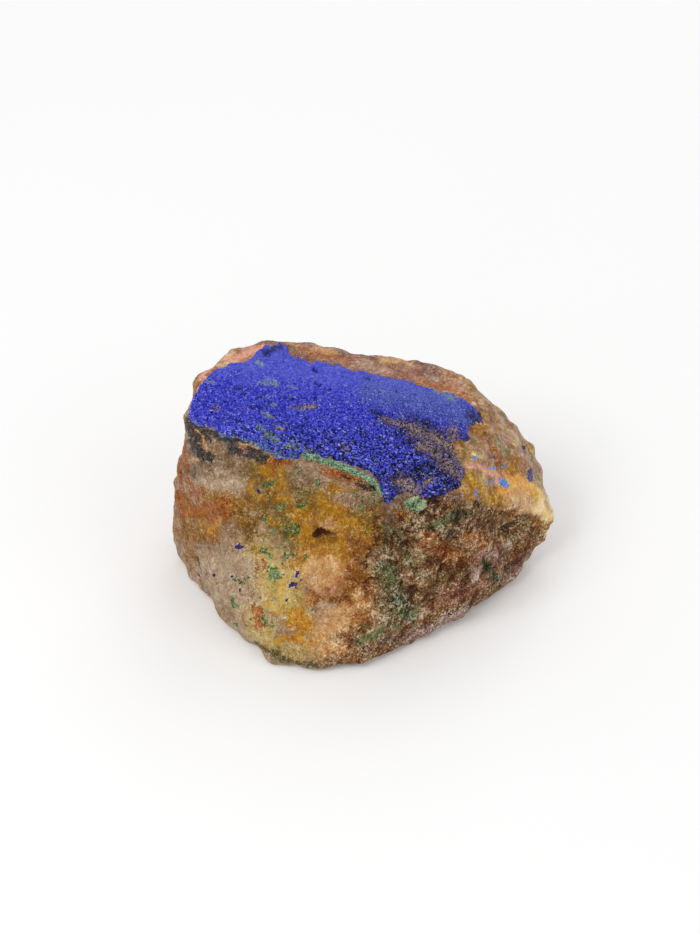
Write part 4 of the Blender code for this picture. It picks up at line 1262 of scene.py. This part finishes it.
@dataclass
class MalachiteRim(Piece):
    """The malachite under the druse's front edge: a flaky, ridged band that thins to its ends.

    rings and around: its grid. length: its own, roughly. smoothing: how many rings its line is averaged over,
    on each side. rise: how far out of the stone the line lies. sway: how far it strays sideways. swelling:
    how much its radius varies. flake: height of its flakes. grain: the size of its grains.
    """

    stone: Stone
    rings: int = 520
    around: int = 60
    length: float = 19.0
    smoothing: int = 20
    rise: float = 0.10
    sway: float = 0.22
    swelling: float = 0.45
    flake: float = 0.22
    grain: float = 0.22
    name: str = "malachite_edge"
    node: str = "malachite_rim"
    slot: str = "malachite"

    def build(self) -> bpy.types.Object:
        """The band: circles along the line, grown by noise and by grains stretched along it."""
        share = np.linspace(0.002, 0.998, self.rings)
        line = along(tuple(self.stone.spots(RIM_LINE)), share)
        kernel = np.hanning(2 * self.smoothing + 1)
        padded = np.pad(line, ((self.smoothing, self.smoothing), (0, 0)), "edge")
        line = np.column_stack([np.convolve(axis, kernel / kernel.sum(), "valid") for axis in padded.T])
        radius = np.interp(share * (len(RIM_RADII) - 1), np.arange(len(RIM_RADII)), RIM_RADII)
        walk = np.column_stack((share * self.length, 0 * share, 0 * share))
        radius = radius * (1 + self.swelling * layered_noise(walk, 1.6, 707))
        out = unit(line - HEART)
        middles = line + self.rise * out
        ahead = unit(np.gradient(middles, axis=0))
        side = unit(np.cross(ahead, out))
        rise = np.cross(side, ahead)
        middles = middles + self.sway * smooth_noise(walk, 1.1, 701)[:, None] * side
        turns = np.arange(self.around) * 2 * np.pi / self.around
        rings = np.cos(turns)[None, :, None] * side[:, None] + np.sin(turns)[None, :, None] * rise[:, None]
        places = (middles[:, None] + rings * radius[:, None, None]).reshape(-1, 3)
        out = rings.reshape(-1, 3)
        first = grains(places, (1.7 * self.grain, self.grain, 0.8 * self.grain), 711)
        ridge = self.flake * layered_noise(places * (0.8, 1.0, 1.3), 0.5, 57)
        swell = ridge + 0.24 * (0.45 - first.near) + 0.12 * first.tilt
        swell = swell * np.repeat(step(radius, 0, 0.4), self.around)
        points = np.concatenate((places + out * swell[:, None], middles[[0, -1]]))
        ends = (0, 0)
        paint = {"depth": np.concatenate((swell, ends)), "chance": np.concatenate((first.chance[1], ends))}
        faces = grid_faces(self.rings, self.around, True).tolist() + fans(self.rings, self.around)
        return self.make(points, faces, paint)


@dataclass
class MalachiteKnob(Piece):
    """The cushion of malachite below the druse's front corner: a flattened ball of grains.

    middle and size: where it lies and its half sizes. rings and around: its grid. grain: the size of its
    smaller grains. swell and bump: heights of its swells and of its grains.
    """

    middle: Triple = (7.75, -12.0, 25.1)
    size: Triple = (1.65, 1.2, 1.10)
    rings: int = 170
    around: int = 260
    grain: float = 0.34
    swell: float = 0.40
    bump: float = 0.30
    name: str = "malachite_lump"
    node: str = "malachite_knob"
    slot: str = "malachite"

    def build(self) -> bpy.types.Object:
        """The cushion: a ball stretched to its size, grown by noise and by two sizes of grains."""
        tilt = (np.arange(self.rings) + 0.5) / self.rings * np.pi
        turns = np.arange(self.around) * 2 * np.pi / self.around
        flat = 0 * turns[None] + np.sin(tilt)[:, None]
        upright = 0 * turns[None] + np.cos(tilt)[:, None]
        ball = np.stack((flat * np.cos(turns), flat * np.sin(turns), upright), axis=-1)
        ball = np.concatenate((ball.reshape(-1, 3), ((0, 0, 1.0), (0, 0, -1.0))))
        places = ball * self.size
        first, second = grains(places, self.grain, 721), grains(places, 2.2 * self.grain, 731)
        swell = self.swell * smooth_noise(places, 1.2, 63) + self.bump * (0.90 - first.near - second.near)
        points = places + ball * swell[:, None] + np.array(self.middle)
        faces = grid_faces(self.rings, self.around, True)[:, ::-1].tolist()
        faces += [ring[::-1] for ring in fans(self.rings, self.around)]
        return self.make(points, faces, {"depth": swell, "chance": first.chance[1]})


# --- Shader maths ---


class Wire:
    """A socket of a material's tree, that sums can be written with."""

    def __init__(self, board: "Board", socket: bpy.types.NodeSocket) -> None:
        """Keeps the socket and the tree it belongs to."""
        self.board, self.socket = board, socket

    def maths(self, operation: str, *values: Any) -> "Wire":
        """One Math node on these values or wires."""
        return self.board.node("ShaderNodeMath", {"operation": operation}, dict(enumerate(values)))

    def __add__(self, other: Any) -> "Wire":
        """This plus other."""
        return self.maths("ADD", self, other)

    def __sub__(self, other: Any) -> "Wire":
        """This less other."""
        return self.maths("SUBTRACT", self, other)

    def __rsub__(self, other: Any) -> "Wire":
        """Other less this."""
        return self.maths("SUBTRACT", other, self)

    def __mul__(self, other: Any) -> "Wire":
        """This times other."""
        return self.maths("MULTIPLY", self, other)

    def __abs__(self) -> "Wire":
        """This without its sign."""
        return self.maths("ABSOLUTE", self)

    __radd__, __rmul__ = __add__, __mul__


class Board:
    """A new material's tree, and the few ways that its nodes are added."""

    def __init__(self, name: str, fibres: Triple = (0, 0, 0)) -> None:
        """Starts the material with its own Principled shader; its stretched noise lies along the fibres."""
        self.fibres = fibres
        self.material = bpy.data.materials.new(name)
        self.material.use_nodes = True
        self.tree = self.material.node_tree
        self.shader = self.tree.nodes["Principled BSDF"]

    def link(self, value: Any, socket: bpy.types.NodeSocket) -> None:
        """Leads a wire to a socket, or sets the socket to a number, a tint or a vector."""
        if isinstance(value, Wire):
            self.tree.links.new(value.socket, socket)
        elif isinstance(value, Tint):
            socket.default_value = (*value.linear, 1)
        else:
            socket.default_value = value

    def node(
        self,
        kind: str,
        settings: dict[str, Any] | None = None,
        inputs: dict[int | str, Any] | None = None,
        output: int | str = 0,
    ) -> Wire:
        """Adds a node.

        Args:
            kind: its type.
            settings: its own settings, which are set first.
            inputs: values or wires by socket.
            output: the socket that is wanted.

        Returns:
            The wire from that socket.
        """
        made = self.tree.nodes.new(kind)
        for label, value in (settings or {}).items():
            setattr(made, label, value)
        for socket, value in (inputs or {}).items():
            self.link(value, made.inputs[socket])
        return Wire(self, made.outputs[output])

    def attribute(self, name: str, output: str = "Fac") -> Wire:
        """One of the piece's own attributes."""
        return self.node("ShaderNodeAttribute", {"attribute_name": name}, output=output)

    def place(self) -> Wire:
        """The place on the object, in metres."""
        return self.node("ShaderNodeTexCoord", output="Object")

    def noise(self, size: float, detail: float = 2.0, warp: float = 0.0, stretch: Triple = (1, 1, 1)) -> Wire:
        """Noise round 0, mostly within 0.3 of it.

        Args:
            size: what its lumps measure, in mm.
            detail: how many finer layers it has.
            warp: how far it is swirled.
            stretch: how much longer its lumps are along the axes of the fibres.

        Returns:
            The wire.
        """
        turned = {"Vector": self.place(), "Rotation": self.fibres, "Scale": stretch}
        place = self.node("ShaderNodeMapping", {"vector_type": "TEXTURE"}, turned)
        inputs = {"Vector": place, "Scale": 1 / (size * MM), "Detail": detail, "Distortion": warp}
        return self.node("ShaderNodeTexNoise", {}, inputs, "Fac") - 0.5

    def step(self, value: Wire, low: float, high: float) -> Wire:
        """0 below low, 1 above high, and smooth between."""
        inputs = {"Value": value, "From Min": low, "From Max": high}
        return self.node("ShaderNodeMapRange", {"interpolation_type": "SMOOTHSTEP"}, inputs)

    def blotches(self, low: float, high: float, *noise: Any) -> Wire:
        """0 where noise is below low, and 1 where it is above high; noise is what the noise takes."""
        return self.step(self.noise(*noise), low, high)

    def marked(self, label: str, ragged: Wire, low: float, high: float) -> Wire:
        """1 inside the marks of an attribute and 0 outside, with an outline made ragged by noise."""
        return self.step(self.attribute(label) + ragged, low, high)

    def threads(self, size: float, width: float) -> Wire:
        """1 along thin winding lines, where swirled noise crosses 0, and 0 away from them."""
        return self.step(abs(self.noise(size, 2, 1.2)), width, 0.0)

    def seeds(self, size: float, output: str) -> Wire:
        """Random grains that measure size in mm: their Distance, Color or Position."""
        inputs = {"Vector": self.place(), "Scale": 1 / (size * MM)}
        return self.node("ShaderNodeTexVoronoi", {}, inputs, output)

    def chance(self, size: float) -> Wire:
        """A random number from -0.5 to 0.5 for each of the grains."""
        return self.node("ShaderNodeSeparateColor", {}, {0: self.seeds(size, "Color")}) - 0.5

    def vectors(self, operation: str, first: Any, second: Any, output: str = "Vector") -> Wire:
        """One Vector Math node."""
        return self.node("ShaderNodeVectorMath", {"operation": operation}, {0: first, 1: second}, output)

    def facets(self, size: float) -> Wire:
        """Height of grains with flat tilted tops, in grain sizes: offset from the seed times a tilt."""
        seed = self.seeds(size, "Position")
        tilt = self.vectors("SUBTRACT", self.seeds(size, "Color"), (0.5, 0.5, 0.5))
        away = self.vectors("SUBTRACT", self.place(), seed)
        return self.vectors("DOT_PRODUCT", away, tilt, "Value") * (1 / (size * MM))

    def mix(self, share: Any, low: Any, high: Any) -> Wire:
        """The colour between two, at this share."""
        return self.node("ShaderNodeMix", {"data_type": "RGBA"}, {0: share, 6: low, 7: high}, 2)

    def deepen(self, colour: Any, amount: Wire, least: float = 0.35) -> Wire:
        """The colour to the power of one more than amount, or of least: darker above 0, paler below it."""
        power = amount.maths("MAXIMUM", amount + 1.0, least)
        return self.node("ShaderNodeGamma", {}, {"Color": colour, "Gamma": power})

    def finish(
        self, colour: Wire, roughness: Any, bump: Wire, depth: float, settings: dict[str, Any] | None = None
    ) -> bpy.types.Material:
        """Leads the colour, roughness and bump to the shader.

        Args:
            colour: the base colour.
            roughness: a wire or a number.
            bump: height, about 1 from low to high.
            depth: what 1 of the bump stands for, in mm.
            settings: wires or numbers for the shader's other sockets.

        Returns:
            The material.
        """
        normal = self.node("ShaderNodeBump", {}, {"Height": bump, "Distance": depth * MM, "Strength": 1.0})
        inputs = {"Base Color": colour, "Roughness": roughness, "Normal": normal, **(settings or {})}
        for socket, value in inputs.items():
            self.link(value, self.shader.inputs[socket])
        return self.material


# --- The finishes ---


@dataclass(frozen=True)
class QuartzFinish:
    """Stained vein quartz, with specks of malachite and azurite and patches of dark oxide.

    broad, mid and fine: how strongly each size of mottling deepens or pales the colour. specular: how much
    it mirrors. coat: the roughness of the thin gloss on its smooth sides. fibres: the way that its longer
    grains lie, in radians. strokes: how much longer they are along it. dent: depth of the finest relief, mm.
    """

    broad: float = 0.7
    mid: float = 1.1
    fine: float = 1.3
    specular: float = 0.14
    coat: float = 0.12
    fibres: Triple = (0.0, -0.5, 0.87)
    strokes: Triple = (2.2, 1.0, 0.8)
    dent: float = 0.18

    def mottle(self, board: Board, crumb: Wire, gloss: Wire, mid: Wire, fine: Wire) -> Wire:
        """How far mottling of three sizes deepens the colour, with painted shade in the low places of the
        relief and painted light on its high places.
        """
        broad = board.noise(1.3, 3, 0.6)
        patch = board.blotches(-0.10, 0.12, 2.4) * 1.1 + 0.5
        deeper = broad * (gloss * 0.6 + self.broad) + mid * (crumb * 0.5 + gloss * 0.7 + self.mid)
        deeper = deeper + fine * patch * (crumb * 0.3 - gloss * 0.7 + self.fine)
        # Painted shade and light: the relief's low places deepen the colour, its high places pale it, and the
        # lowest deepen it further.
        painted_hollow_shade = board.step(board.attribute("height"), 0.0, -0.35) * 0.30
        return deeper + board.attribute("height") * (crumb * -1.1 - 0.42) + painted_hollow_shade

    def roughening(self, board: Board, crumb: Wire) -> Wire:
        """How far grains, the weathered face's clumps and worm-like lines, and painted shade along the
        grains' borders, in thin crease lines and in small pits deepen it.
        """
        grain = board.chance(0.36) * (crumb * 0.45 + 0.25)
        # Painted shade: dark borders between the grains, dark crease lines and small dark pits, most on the
        # weathered face.
        painted_rim_shade = board.step(board.seeds(0.36, "Distance"), 0.42, 0.66) * crumb * 0.4 - crumb * 0.10
        clumps = board.noise(3.4, 2, 0.8, self.strokes) * crumb * 1.4 - crumb * 0.08
        worms = board.threads(0.9, 0.05) * board.blotches(-0.10, 0.10, 1.6) * crumb * 0.55
        painted_crease_shade = board.threads(2.4, 0.030) * (crumb * 0.6 + 0.12)
        painted_pock_shade = board.blotches(-0.15, -0.23, 0.36, 2, 1.4, self.strokes) * (crumb * 0.6 + 0.4)
        painted_pinhole_shade = board.blotches(-0.08, -0.15, 0.25, 2, 0.8) * crumb * 0.8
        return grain + painted_rim_shade + clumps + worms + painted_crease_shade + painted_pock_shade + painted_pinhole_shade

    def stone(self, board: Board, crumb: Wire, gloss: Wire) -> Wire:
        """The soft colour with the stain soaked into it unevenly, then its own deeper and paler grain, with
        painted highlights on it: pale threads and specks on the weathered face, then thin lines that are
        partly pale veins and partly painted highlights, and flecks of painted glint."""
        mid, fine = board.noise(0.5, 3, 1.0), board.noise(0.24, 2, 0.5)
        soaked = board.marked("soak", mid * 1.3 + fine * 1.2, 0.10, 0.95) * 0.9
        colour = board.mix(soaked, board.attribute("wash", "Color"), board.attribute("stain", "Color"))
        deeper = self.mottle(board, crumb, gloss, mid, fine) + self.roughening(board, crumb)
        colour = board.deepen(colour, deeper)
        # Painted highlights: pale threads and glinting specks on the weathered face.
        pale = board.threads(0.8, 0.04) * board.blotches(-0.02, 0.12, 1.9) * crumb * 0.30
        glint_grit = board.blotches(0.13, 0.19, 0.26, 2, 0.6) * crumb * 0.34
        colour = board.mix(glint_grit, board.mix(pale, colour, Tint.PEACH), Tint.PEACH)
        # Thin pale lines, partly pale veins and partly painted highlights, then flecks of painted glint.
        threads = board.threads(1.3, 0.018) * board.blotches(-0.02, 0.12, 2.2, 1) * (gloss * 0.25 + 0.24)
        flecks = board.blotches(0.15, 0.22, 0.30, 2, 1.6, self.strokes) * (0.42 - crumb * 0.04)
        return board.mix(flecks, board.mix(threads, colour, Tint.GLINT), Tint.GLINT)

    def green(self, board: Board, crumb: Wire) -> Wire:
        """The malachite's own colour: grainy, from dark fern to mint, and duller on the weathered face."""
        shade = board.mix(board.blotches(-0.02, 0.08, 0.26), Tint.FERN, Tint.LEAF)
        shade = board.mix(board.blotches(0.02, 0.10, 3.0, 1) * 0.45, shade, Tint.TEAL)
        shade = board.mix(board.blotches(0.07, 0.15, 0.30, 3) * 0.85, shade, Tint.MINT)
        return board.mix(crumb * 0.5, shade, Tint.SAGE)

    def specks(self, board: Board, colour: Wire, crumb: Wire, speck: Wire, fine: Wire) -> Wire:
        """The malachite's and the azurite's specks laid over the colour."""
        stray = board.blotches(0.12, 0.20, 0.9, 3) * crumb * 0.45
        ragged = speck * 3.4 + fine * (crumb * 2.0 + 2.4)
        green = board.marked("malachite", ragged, 0.1, 0.5) * 0.92
        colour = board.mix(green + stray, colour, self.green(board, crumb))
        for label, tint in (("azurite", Tint.NAVY), ("sky", Tint.SKY)):
            blue = board.marked(label, speck * 1.8 + fine * 0.8, 0.0, 0.3)
            colour = board.mix(blue, colour, board.deepen(tint, fine * 2.4))
        return colour

    def oxide(self, board: Board, colour: Wire, speck: Wire, fine: Wire) -> Wire:
        """The dark oxide laid over the colour: inky, with ashy and clay grains, and tan streaks across it."""
        dark = board.mix(board.step(fine + speck * 0.4, 0.02, 0.14) * 0.85, Tint.INK, Tint.ASH)
        dark = board.mix(board.blotches(0.10, 0.16, 0.32) * 0.7, dark, Tint.CLAY)
        patches = board.marked("oxide", board.noise(0.6, 4) * 3.0 + fine * 1.2, -0.2, 0.3) * 0.92
        streaks = board.marked("tan", speck * 2.0 + fine * 1.4, -0.1, 0.4)
        tan = board.deepen(Tint.FAWN, fine * 4.0 + speck * 2.0)
        return board.mix(streaks, board.mix(patches, colour, dark), tan)

    def vug(self, board: Board, colour: Wire, speck: Wire, fine: Wire) -> Wire:
        """The vug laid over the colour: a lit brow above it, brown shade inside and a lit floor."""
        brow = board.marked("brow", speck * 1.4, -0.1, 0.5) * 0.8
        colour = board.mix(brow, colour, board.deepen(Tint.SAND, fine * 2.0 + speck * 1.5))
        floor = board.marked("floor", fine * 1.5, -0.5, 0.7)
        depths = board.mix(floor, Tint.DEN, board.deepen(Tint.BUFF, fine * 2.0))
        return board.mix(board.marked("den", speck * 0.5, -0.05, 0.2), colour, depths)

    def material(self) -> bpy.types.Material:
        """The stone, then the marks on it, whose edges noise makes ragged."""
        board = Board("quartz", self.fibres)
        crumb, gloss = board.attribute("crumb"), board.attribute("gloss")
        speck, fine = board.noise(0.5, 3), board.noise(0.24)
        colour = self.specks(board, self.stone(board, crumb, gloss), crumb, speck, fine)
        colour = self.vug(board, self.oxide(board, colour, speck, fine), speck, fine)
        steel = board.marked("steel", speck * 2.2 + fine * 1.6, 0.0, 0.4) * 0.9
        blues = board.mix(board.step(speck, 0.0, 0.15), Tint.STEEL, Tint.AZURE)
        colour = board.mix(steel, colour, board.deepen(blues, fine * 5.0 + speck * 2.0 + 0.1))
        roughness = 0.66 - gloss * 0.30 + board.noise(1.1, 3) * 0.3
        folds = board.noise(0.9, 2, 0.8) * gloss * 0.9
        bump = (fine * 0.5 + board.facets(0.5) * 0.5) * (crumb + 0.3) + folds
        coat = {"Coat Weight": gloss * 0.25, "Coat Roughness": self.coat}
        return board.finish(colour, roughness, bump, self.dent, {"Specular IOR Level": self.specular, **coat})


@dataclass(frozen=True)
class AzuriteFinish:
    """Deep blue crystals with painted shade in the black gaps between them and painted glints on them, paler
    and even towards the back, over brown host rock.

    each: how far a crystal's own chance deepens its blue. small: how far a smaller grain's does. fine: how
    far the finest mottling does. specular: how much it mirrors. fibres: the way that its ridges lie, in
    radians. ridges, clefts and flecks: how much longer each kind is along them. dent: depth of the finest
    relief, mm.
    """

    each: float = 0.9
    small: float = 0.8
    fine: float = 3.4
    specular: float = 0.25
    fibres: Triple = (0.0, 0.0, -0.37)
    ridges: Triple = (1.8, 1.0, 1.0)
    clefts: Triple = (2.2, 1.0, 1.0)
    flecks: Triple = (2.0, 1.0, 1.0)
    dent: float = 0.03

    def crystals(self, board: Board, far: Wire) -> Wire:
        """The blue: its own depth of blue for each crystal, with finer grain and painted glints, then painted
        highlights on the tips over painted shade at their feet, and painted shade in the black clefts and
        gaps. There are more of these towards the crust's front edge."""
        front = board.attribute("front")
        near = 0.85 - far * 0.62
        fine = board.noise(0.20) * self.fine + board.noise(0.55, 2, 0.5, self.ridges) * 1.4
        deeper = (board.attribute("chance") - 0.5) * self.each + board.chance(0.28) * self.small + fine
        colour = board.deepen(board.mix(far, Tint.COBALT, Tint.VIOLET), deeper * near + front * 0.06, 0.78)
        # Painted glints on the crystals.
        colour = board.mix(board.blotches(0.11, 0.19, 0.26, 1) * (near * 0.46), colour, Tint.SPARK)
        # Painted light and shade by the crystals' own height: bright tips, black feet.
        tips = board.attribute("tip") * 1.2 + board.noise(0.30, 2, 0.5, self.ridges) * 2.6
        blue = board.mix(board.step(tips, 0.06, 0.34), Tint.COBALT, Tint.GLEAM)
        grain = board.mix(board.step(tips, -0.14, 0.02), Tint.NIGHT, blue)
        colour = board.mix((front * 0.72 + 0.16) * (1.0 - far), colour, grain)
        # Painted shade: black clefts between the crystals.
        clefts = board.blotches(0.07, 0.12, 0.42, 3, 0.7, self.clefts) * (front * 0.80 + 0.10)
        colour = board.mix(clefts * (1.0 - far), colour, Tint.NIGHT)
        # Painted shade in the gaps, pits and pores between the crystals.
        return board.mix(board.attribute("gap") * 0.4, colour, Tint.NIGHT)

    def patches(self, board: Board, colour: Wire, far: Wire, speck: Wire, fine: Wire) -> Wire:
        """Slate-blue and dark patches laid over the colour, with painted glints in loose drifts over all."""
        slate = board.marked("slate", speck, -0.9, 0.7) * 0.62
        colour = board.mix(slate, colour, board.deepen(Tint.SLATE, fine * 2.5))
        dark = board.attribute("dark") * board.blotches(-0.26, 0.04, 0.36, 3, 0.6, self.flecks)
        colour = board.mix(dark * 0.76, colour, Tint.NIGHT)
        # Painted glints.
        glitter = board.blotches(0.10, 0.16, 0.25, 2, 0.8, self.flecks) * (0.76 - far * 0.56)
        return board.mix(glitter * board.blotches(-0.26, 0.04, 1.6), colour, Tint.PALE_GLINT)

    def rock(self, board: Board, speck: Wire, fine: Wire) -> Wire:
        """The brown host rock, with inky grains and painted glints."""
        rock = board.mix(board.step(speck, -0.20, 0.15), Tint.PLUM, Tint.DUST)
        rock = board.deepen(rock, fine * 3.0 + speck * 1.5)
        rock = board.mix(board.blotches(0.03, 0.10, 0.34), rock, Tint.INK)
        # Painted glints on the rock.
        return board.mix(board.blotches(0.15, 0.20, 0.28, 1) * 0.7, rock, Tint.GLINT)

    def material(self) -> bpy.types.Material:
        """The crystals and their patches, then the bare rock, the verdigris and the steel-blue band."""
        board = Board("azurite", self.fibres)
        far, speck, fine = board.attribute("far"), board.noise(0.45, 3), board.noise(0.24)
        colour = self.patches(board, self.crystals(board, far), far, speck, fine)
        bare = board.marked("bare", speck * 3.4 + fine * 3.6, -0.5, 1.0) * 0.90
        colour = board.mix(bare, colour, self.rock(board, speck, fine))
        green = board.marked("verdigris", speck * 2.8 + fine * 2.6, 0.1, 0.8) * 0.55
        colour = board.mix(green, colour, board.mix(board.step(fine, -0.1, 0.1), Tint.SAGE, Tint.MINT))
        steel = board.marked("steel", speck * 2.8 + fine * 3.0, 0.1, 0.8) * 0.8
        blues = board.mix(board.step(speck, 0.0, 0.12), Tint.STEEL, Tint.AZURE)
        colour = board.mix(steel, colour, board.deepen(blues, fine * 6.0 + speck * 2.0))
        mirror = {"Specular IOR Level": self.specular}
        return board.finish(colour, fine * 0.3 + 0.55, board.noise(0.15), self.dent, mirror)


@dataclass(frozen=True)
class MalachiteFinish:
    """Pale green malachite, with painted highlights on its ridges and painted shade in its hollows.

    body: its own colour. ridge: the painted highlight on its ridges. lift: how far its heights are raised
    before they are told apart. dent: depth of the finest relief, mm.
    """

    name: str
    body: Tint
    ridge: Tint
    lift: float = 0.45
    roughness: float = 0.75
    specular: float = 0.3
    dent: float = 0.06

    def material(self) -> bpy.types.Material:
        """Green by depth, with fine grain: painted shade in the hollows, the body's colour between, and
        painted highlights on the ridges.
        """
        board = Board(self.name)
        fine, mid = board.noise(0.22), board.noise(0.6, 2, 0.8)
        own = board.attribute("depth") * 1.7 + board.attribute("chance") * 0.10
        height = own + fine * 1.6 + mid + self.lift
        # Painted shade in the hollows, painted highlights on the ridges.
        colour = board.mix(board.step(height, -0.15, 0.50), Tint.HOLLOW_SHADE, self.body)
        colour = board.mix(board.step(height, 0.45, 1.0), colour, self.ridge)
        mirror = {"Specular IOR Level": self.specular}
        return board.finish(colour, self.roughness, fine + mid * 0.5, self.dent, mirror)


# --- The studio ---


@dataclass(frozen=True)
class SoftLight:
    """A square lamp that faces the specimen."""

    name: str
    place: Triple  # m
    size: float  # m
    power: float  # W

    def build(self) -> None:
        """Puts the lamp up."""
        data = bpy.data.lights.new(self.name, "AREA")
        data.energy, data.size = self.power, self.size
        thing = bpy.data.objects.new(self.name, data)
        thing.location = self.place
        aim = np.array(self.place) - HEART * MM
        turn = np.arctan2(aim[0], -aim[1])
        thing.rotation_euler = (np.arctan2(np.hypot(aim[0], aim[1]), aim[2]), 0, turn)
        bpy.context.scene.collection.objects.link(thing)


@dataclass
class Studio:
    """A plain pale floor and soft lamps round it."""

    floor_side: float = 6.0
    floor_shade: float = 0.965
    floor_glow: float = 0.05
    world_strength: float = 0.62
    lamps: tuple[SoftLight, ...] = (
        SoftLight("key", (-0.35, -0.30, 0.50), 0.35, 1.6),
        SoftLight("fill", (0.50, -0.35, 0.35), 0.50, 0.5),
        SoftLight("back", (0.15, 0.50, 0.45), 0.40, 0.7),
    )

    def floor(self) -> None:
        """Lays the floor."""
        board = Board("pale_floor")
        shade = board.noise(40.0, 1) * 0.01 + self.floor_shade
        tone = board.node("ShaderNodeCombineColor", {}, {0: shade, 1: shade, 2: shade})
        glow = {"Emission Color": (1, 1, 1, 1), "Emission Strength": self.floor_glow}
        board.finish(tone, 0.9, board.noise(3.0, 1), 0.001, glow)
        half = self.floor_side / 2
        data = bpy.data.meshes.new("floor")
        corners = [(-half, -half, 0), (half, -half, 0), (half, half, 0), (-half, half, 0)]
        data.from_pydata(corners, [], [(0, 1, 2, 3)])
        data.materials.append(board.material)
        floor = bpy.data.objects.new("floor", data)
        bpy.context.scene.collection.objects.link(floor)

    def build(self) -> None:
        """Lays the floor, lights the surroundings and puts the lamps up."""
        self.floor()
        world = bpy.data.worlds.new("studio")
        world.use_nodes = True
        world.node_tree.nodes["Background"].inputs["Color"].default_value = (1, 1, 1, 1)
        world.node_tree.nodes["Background"].inputs["Strength"].default_value = self.world_strength
        bpy.context.scene.world = world
        bpy.context.scene.view_settings.view_transform = "Standard"
        for lamp in self.lamps:
            lamp.build()


# --- The specimen ---


def main() -> None:
    """Builds the studio and the specimen's pieces in order."""
    logging.basicConfig(level=logging.INFO, format="%(message)s")
    VIEW.camera()
    Studio().build()
    stone = Stone()
    stone.dress(QuartzFinish())
    Druse(stone).dress(AzuriteFinish())
    # The second colour of each malachite finish is the painted highlight on its ridges.
    MalachiteRim(stone).dress(MalachiteFinish("malachite", Tint.JADE, Tint.MINT_RIDGE_HIGHLIGHT))
    MalachiteKnob().dress(MalachiteFinish("malachite_cushion", Tint.LICHEN, Tint.SAGE_RIDGE_HIGHLIGHT))


if __name__ == "__main__":
    main()
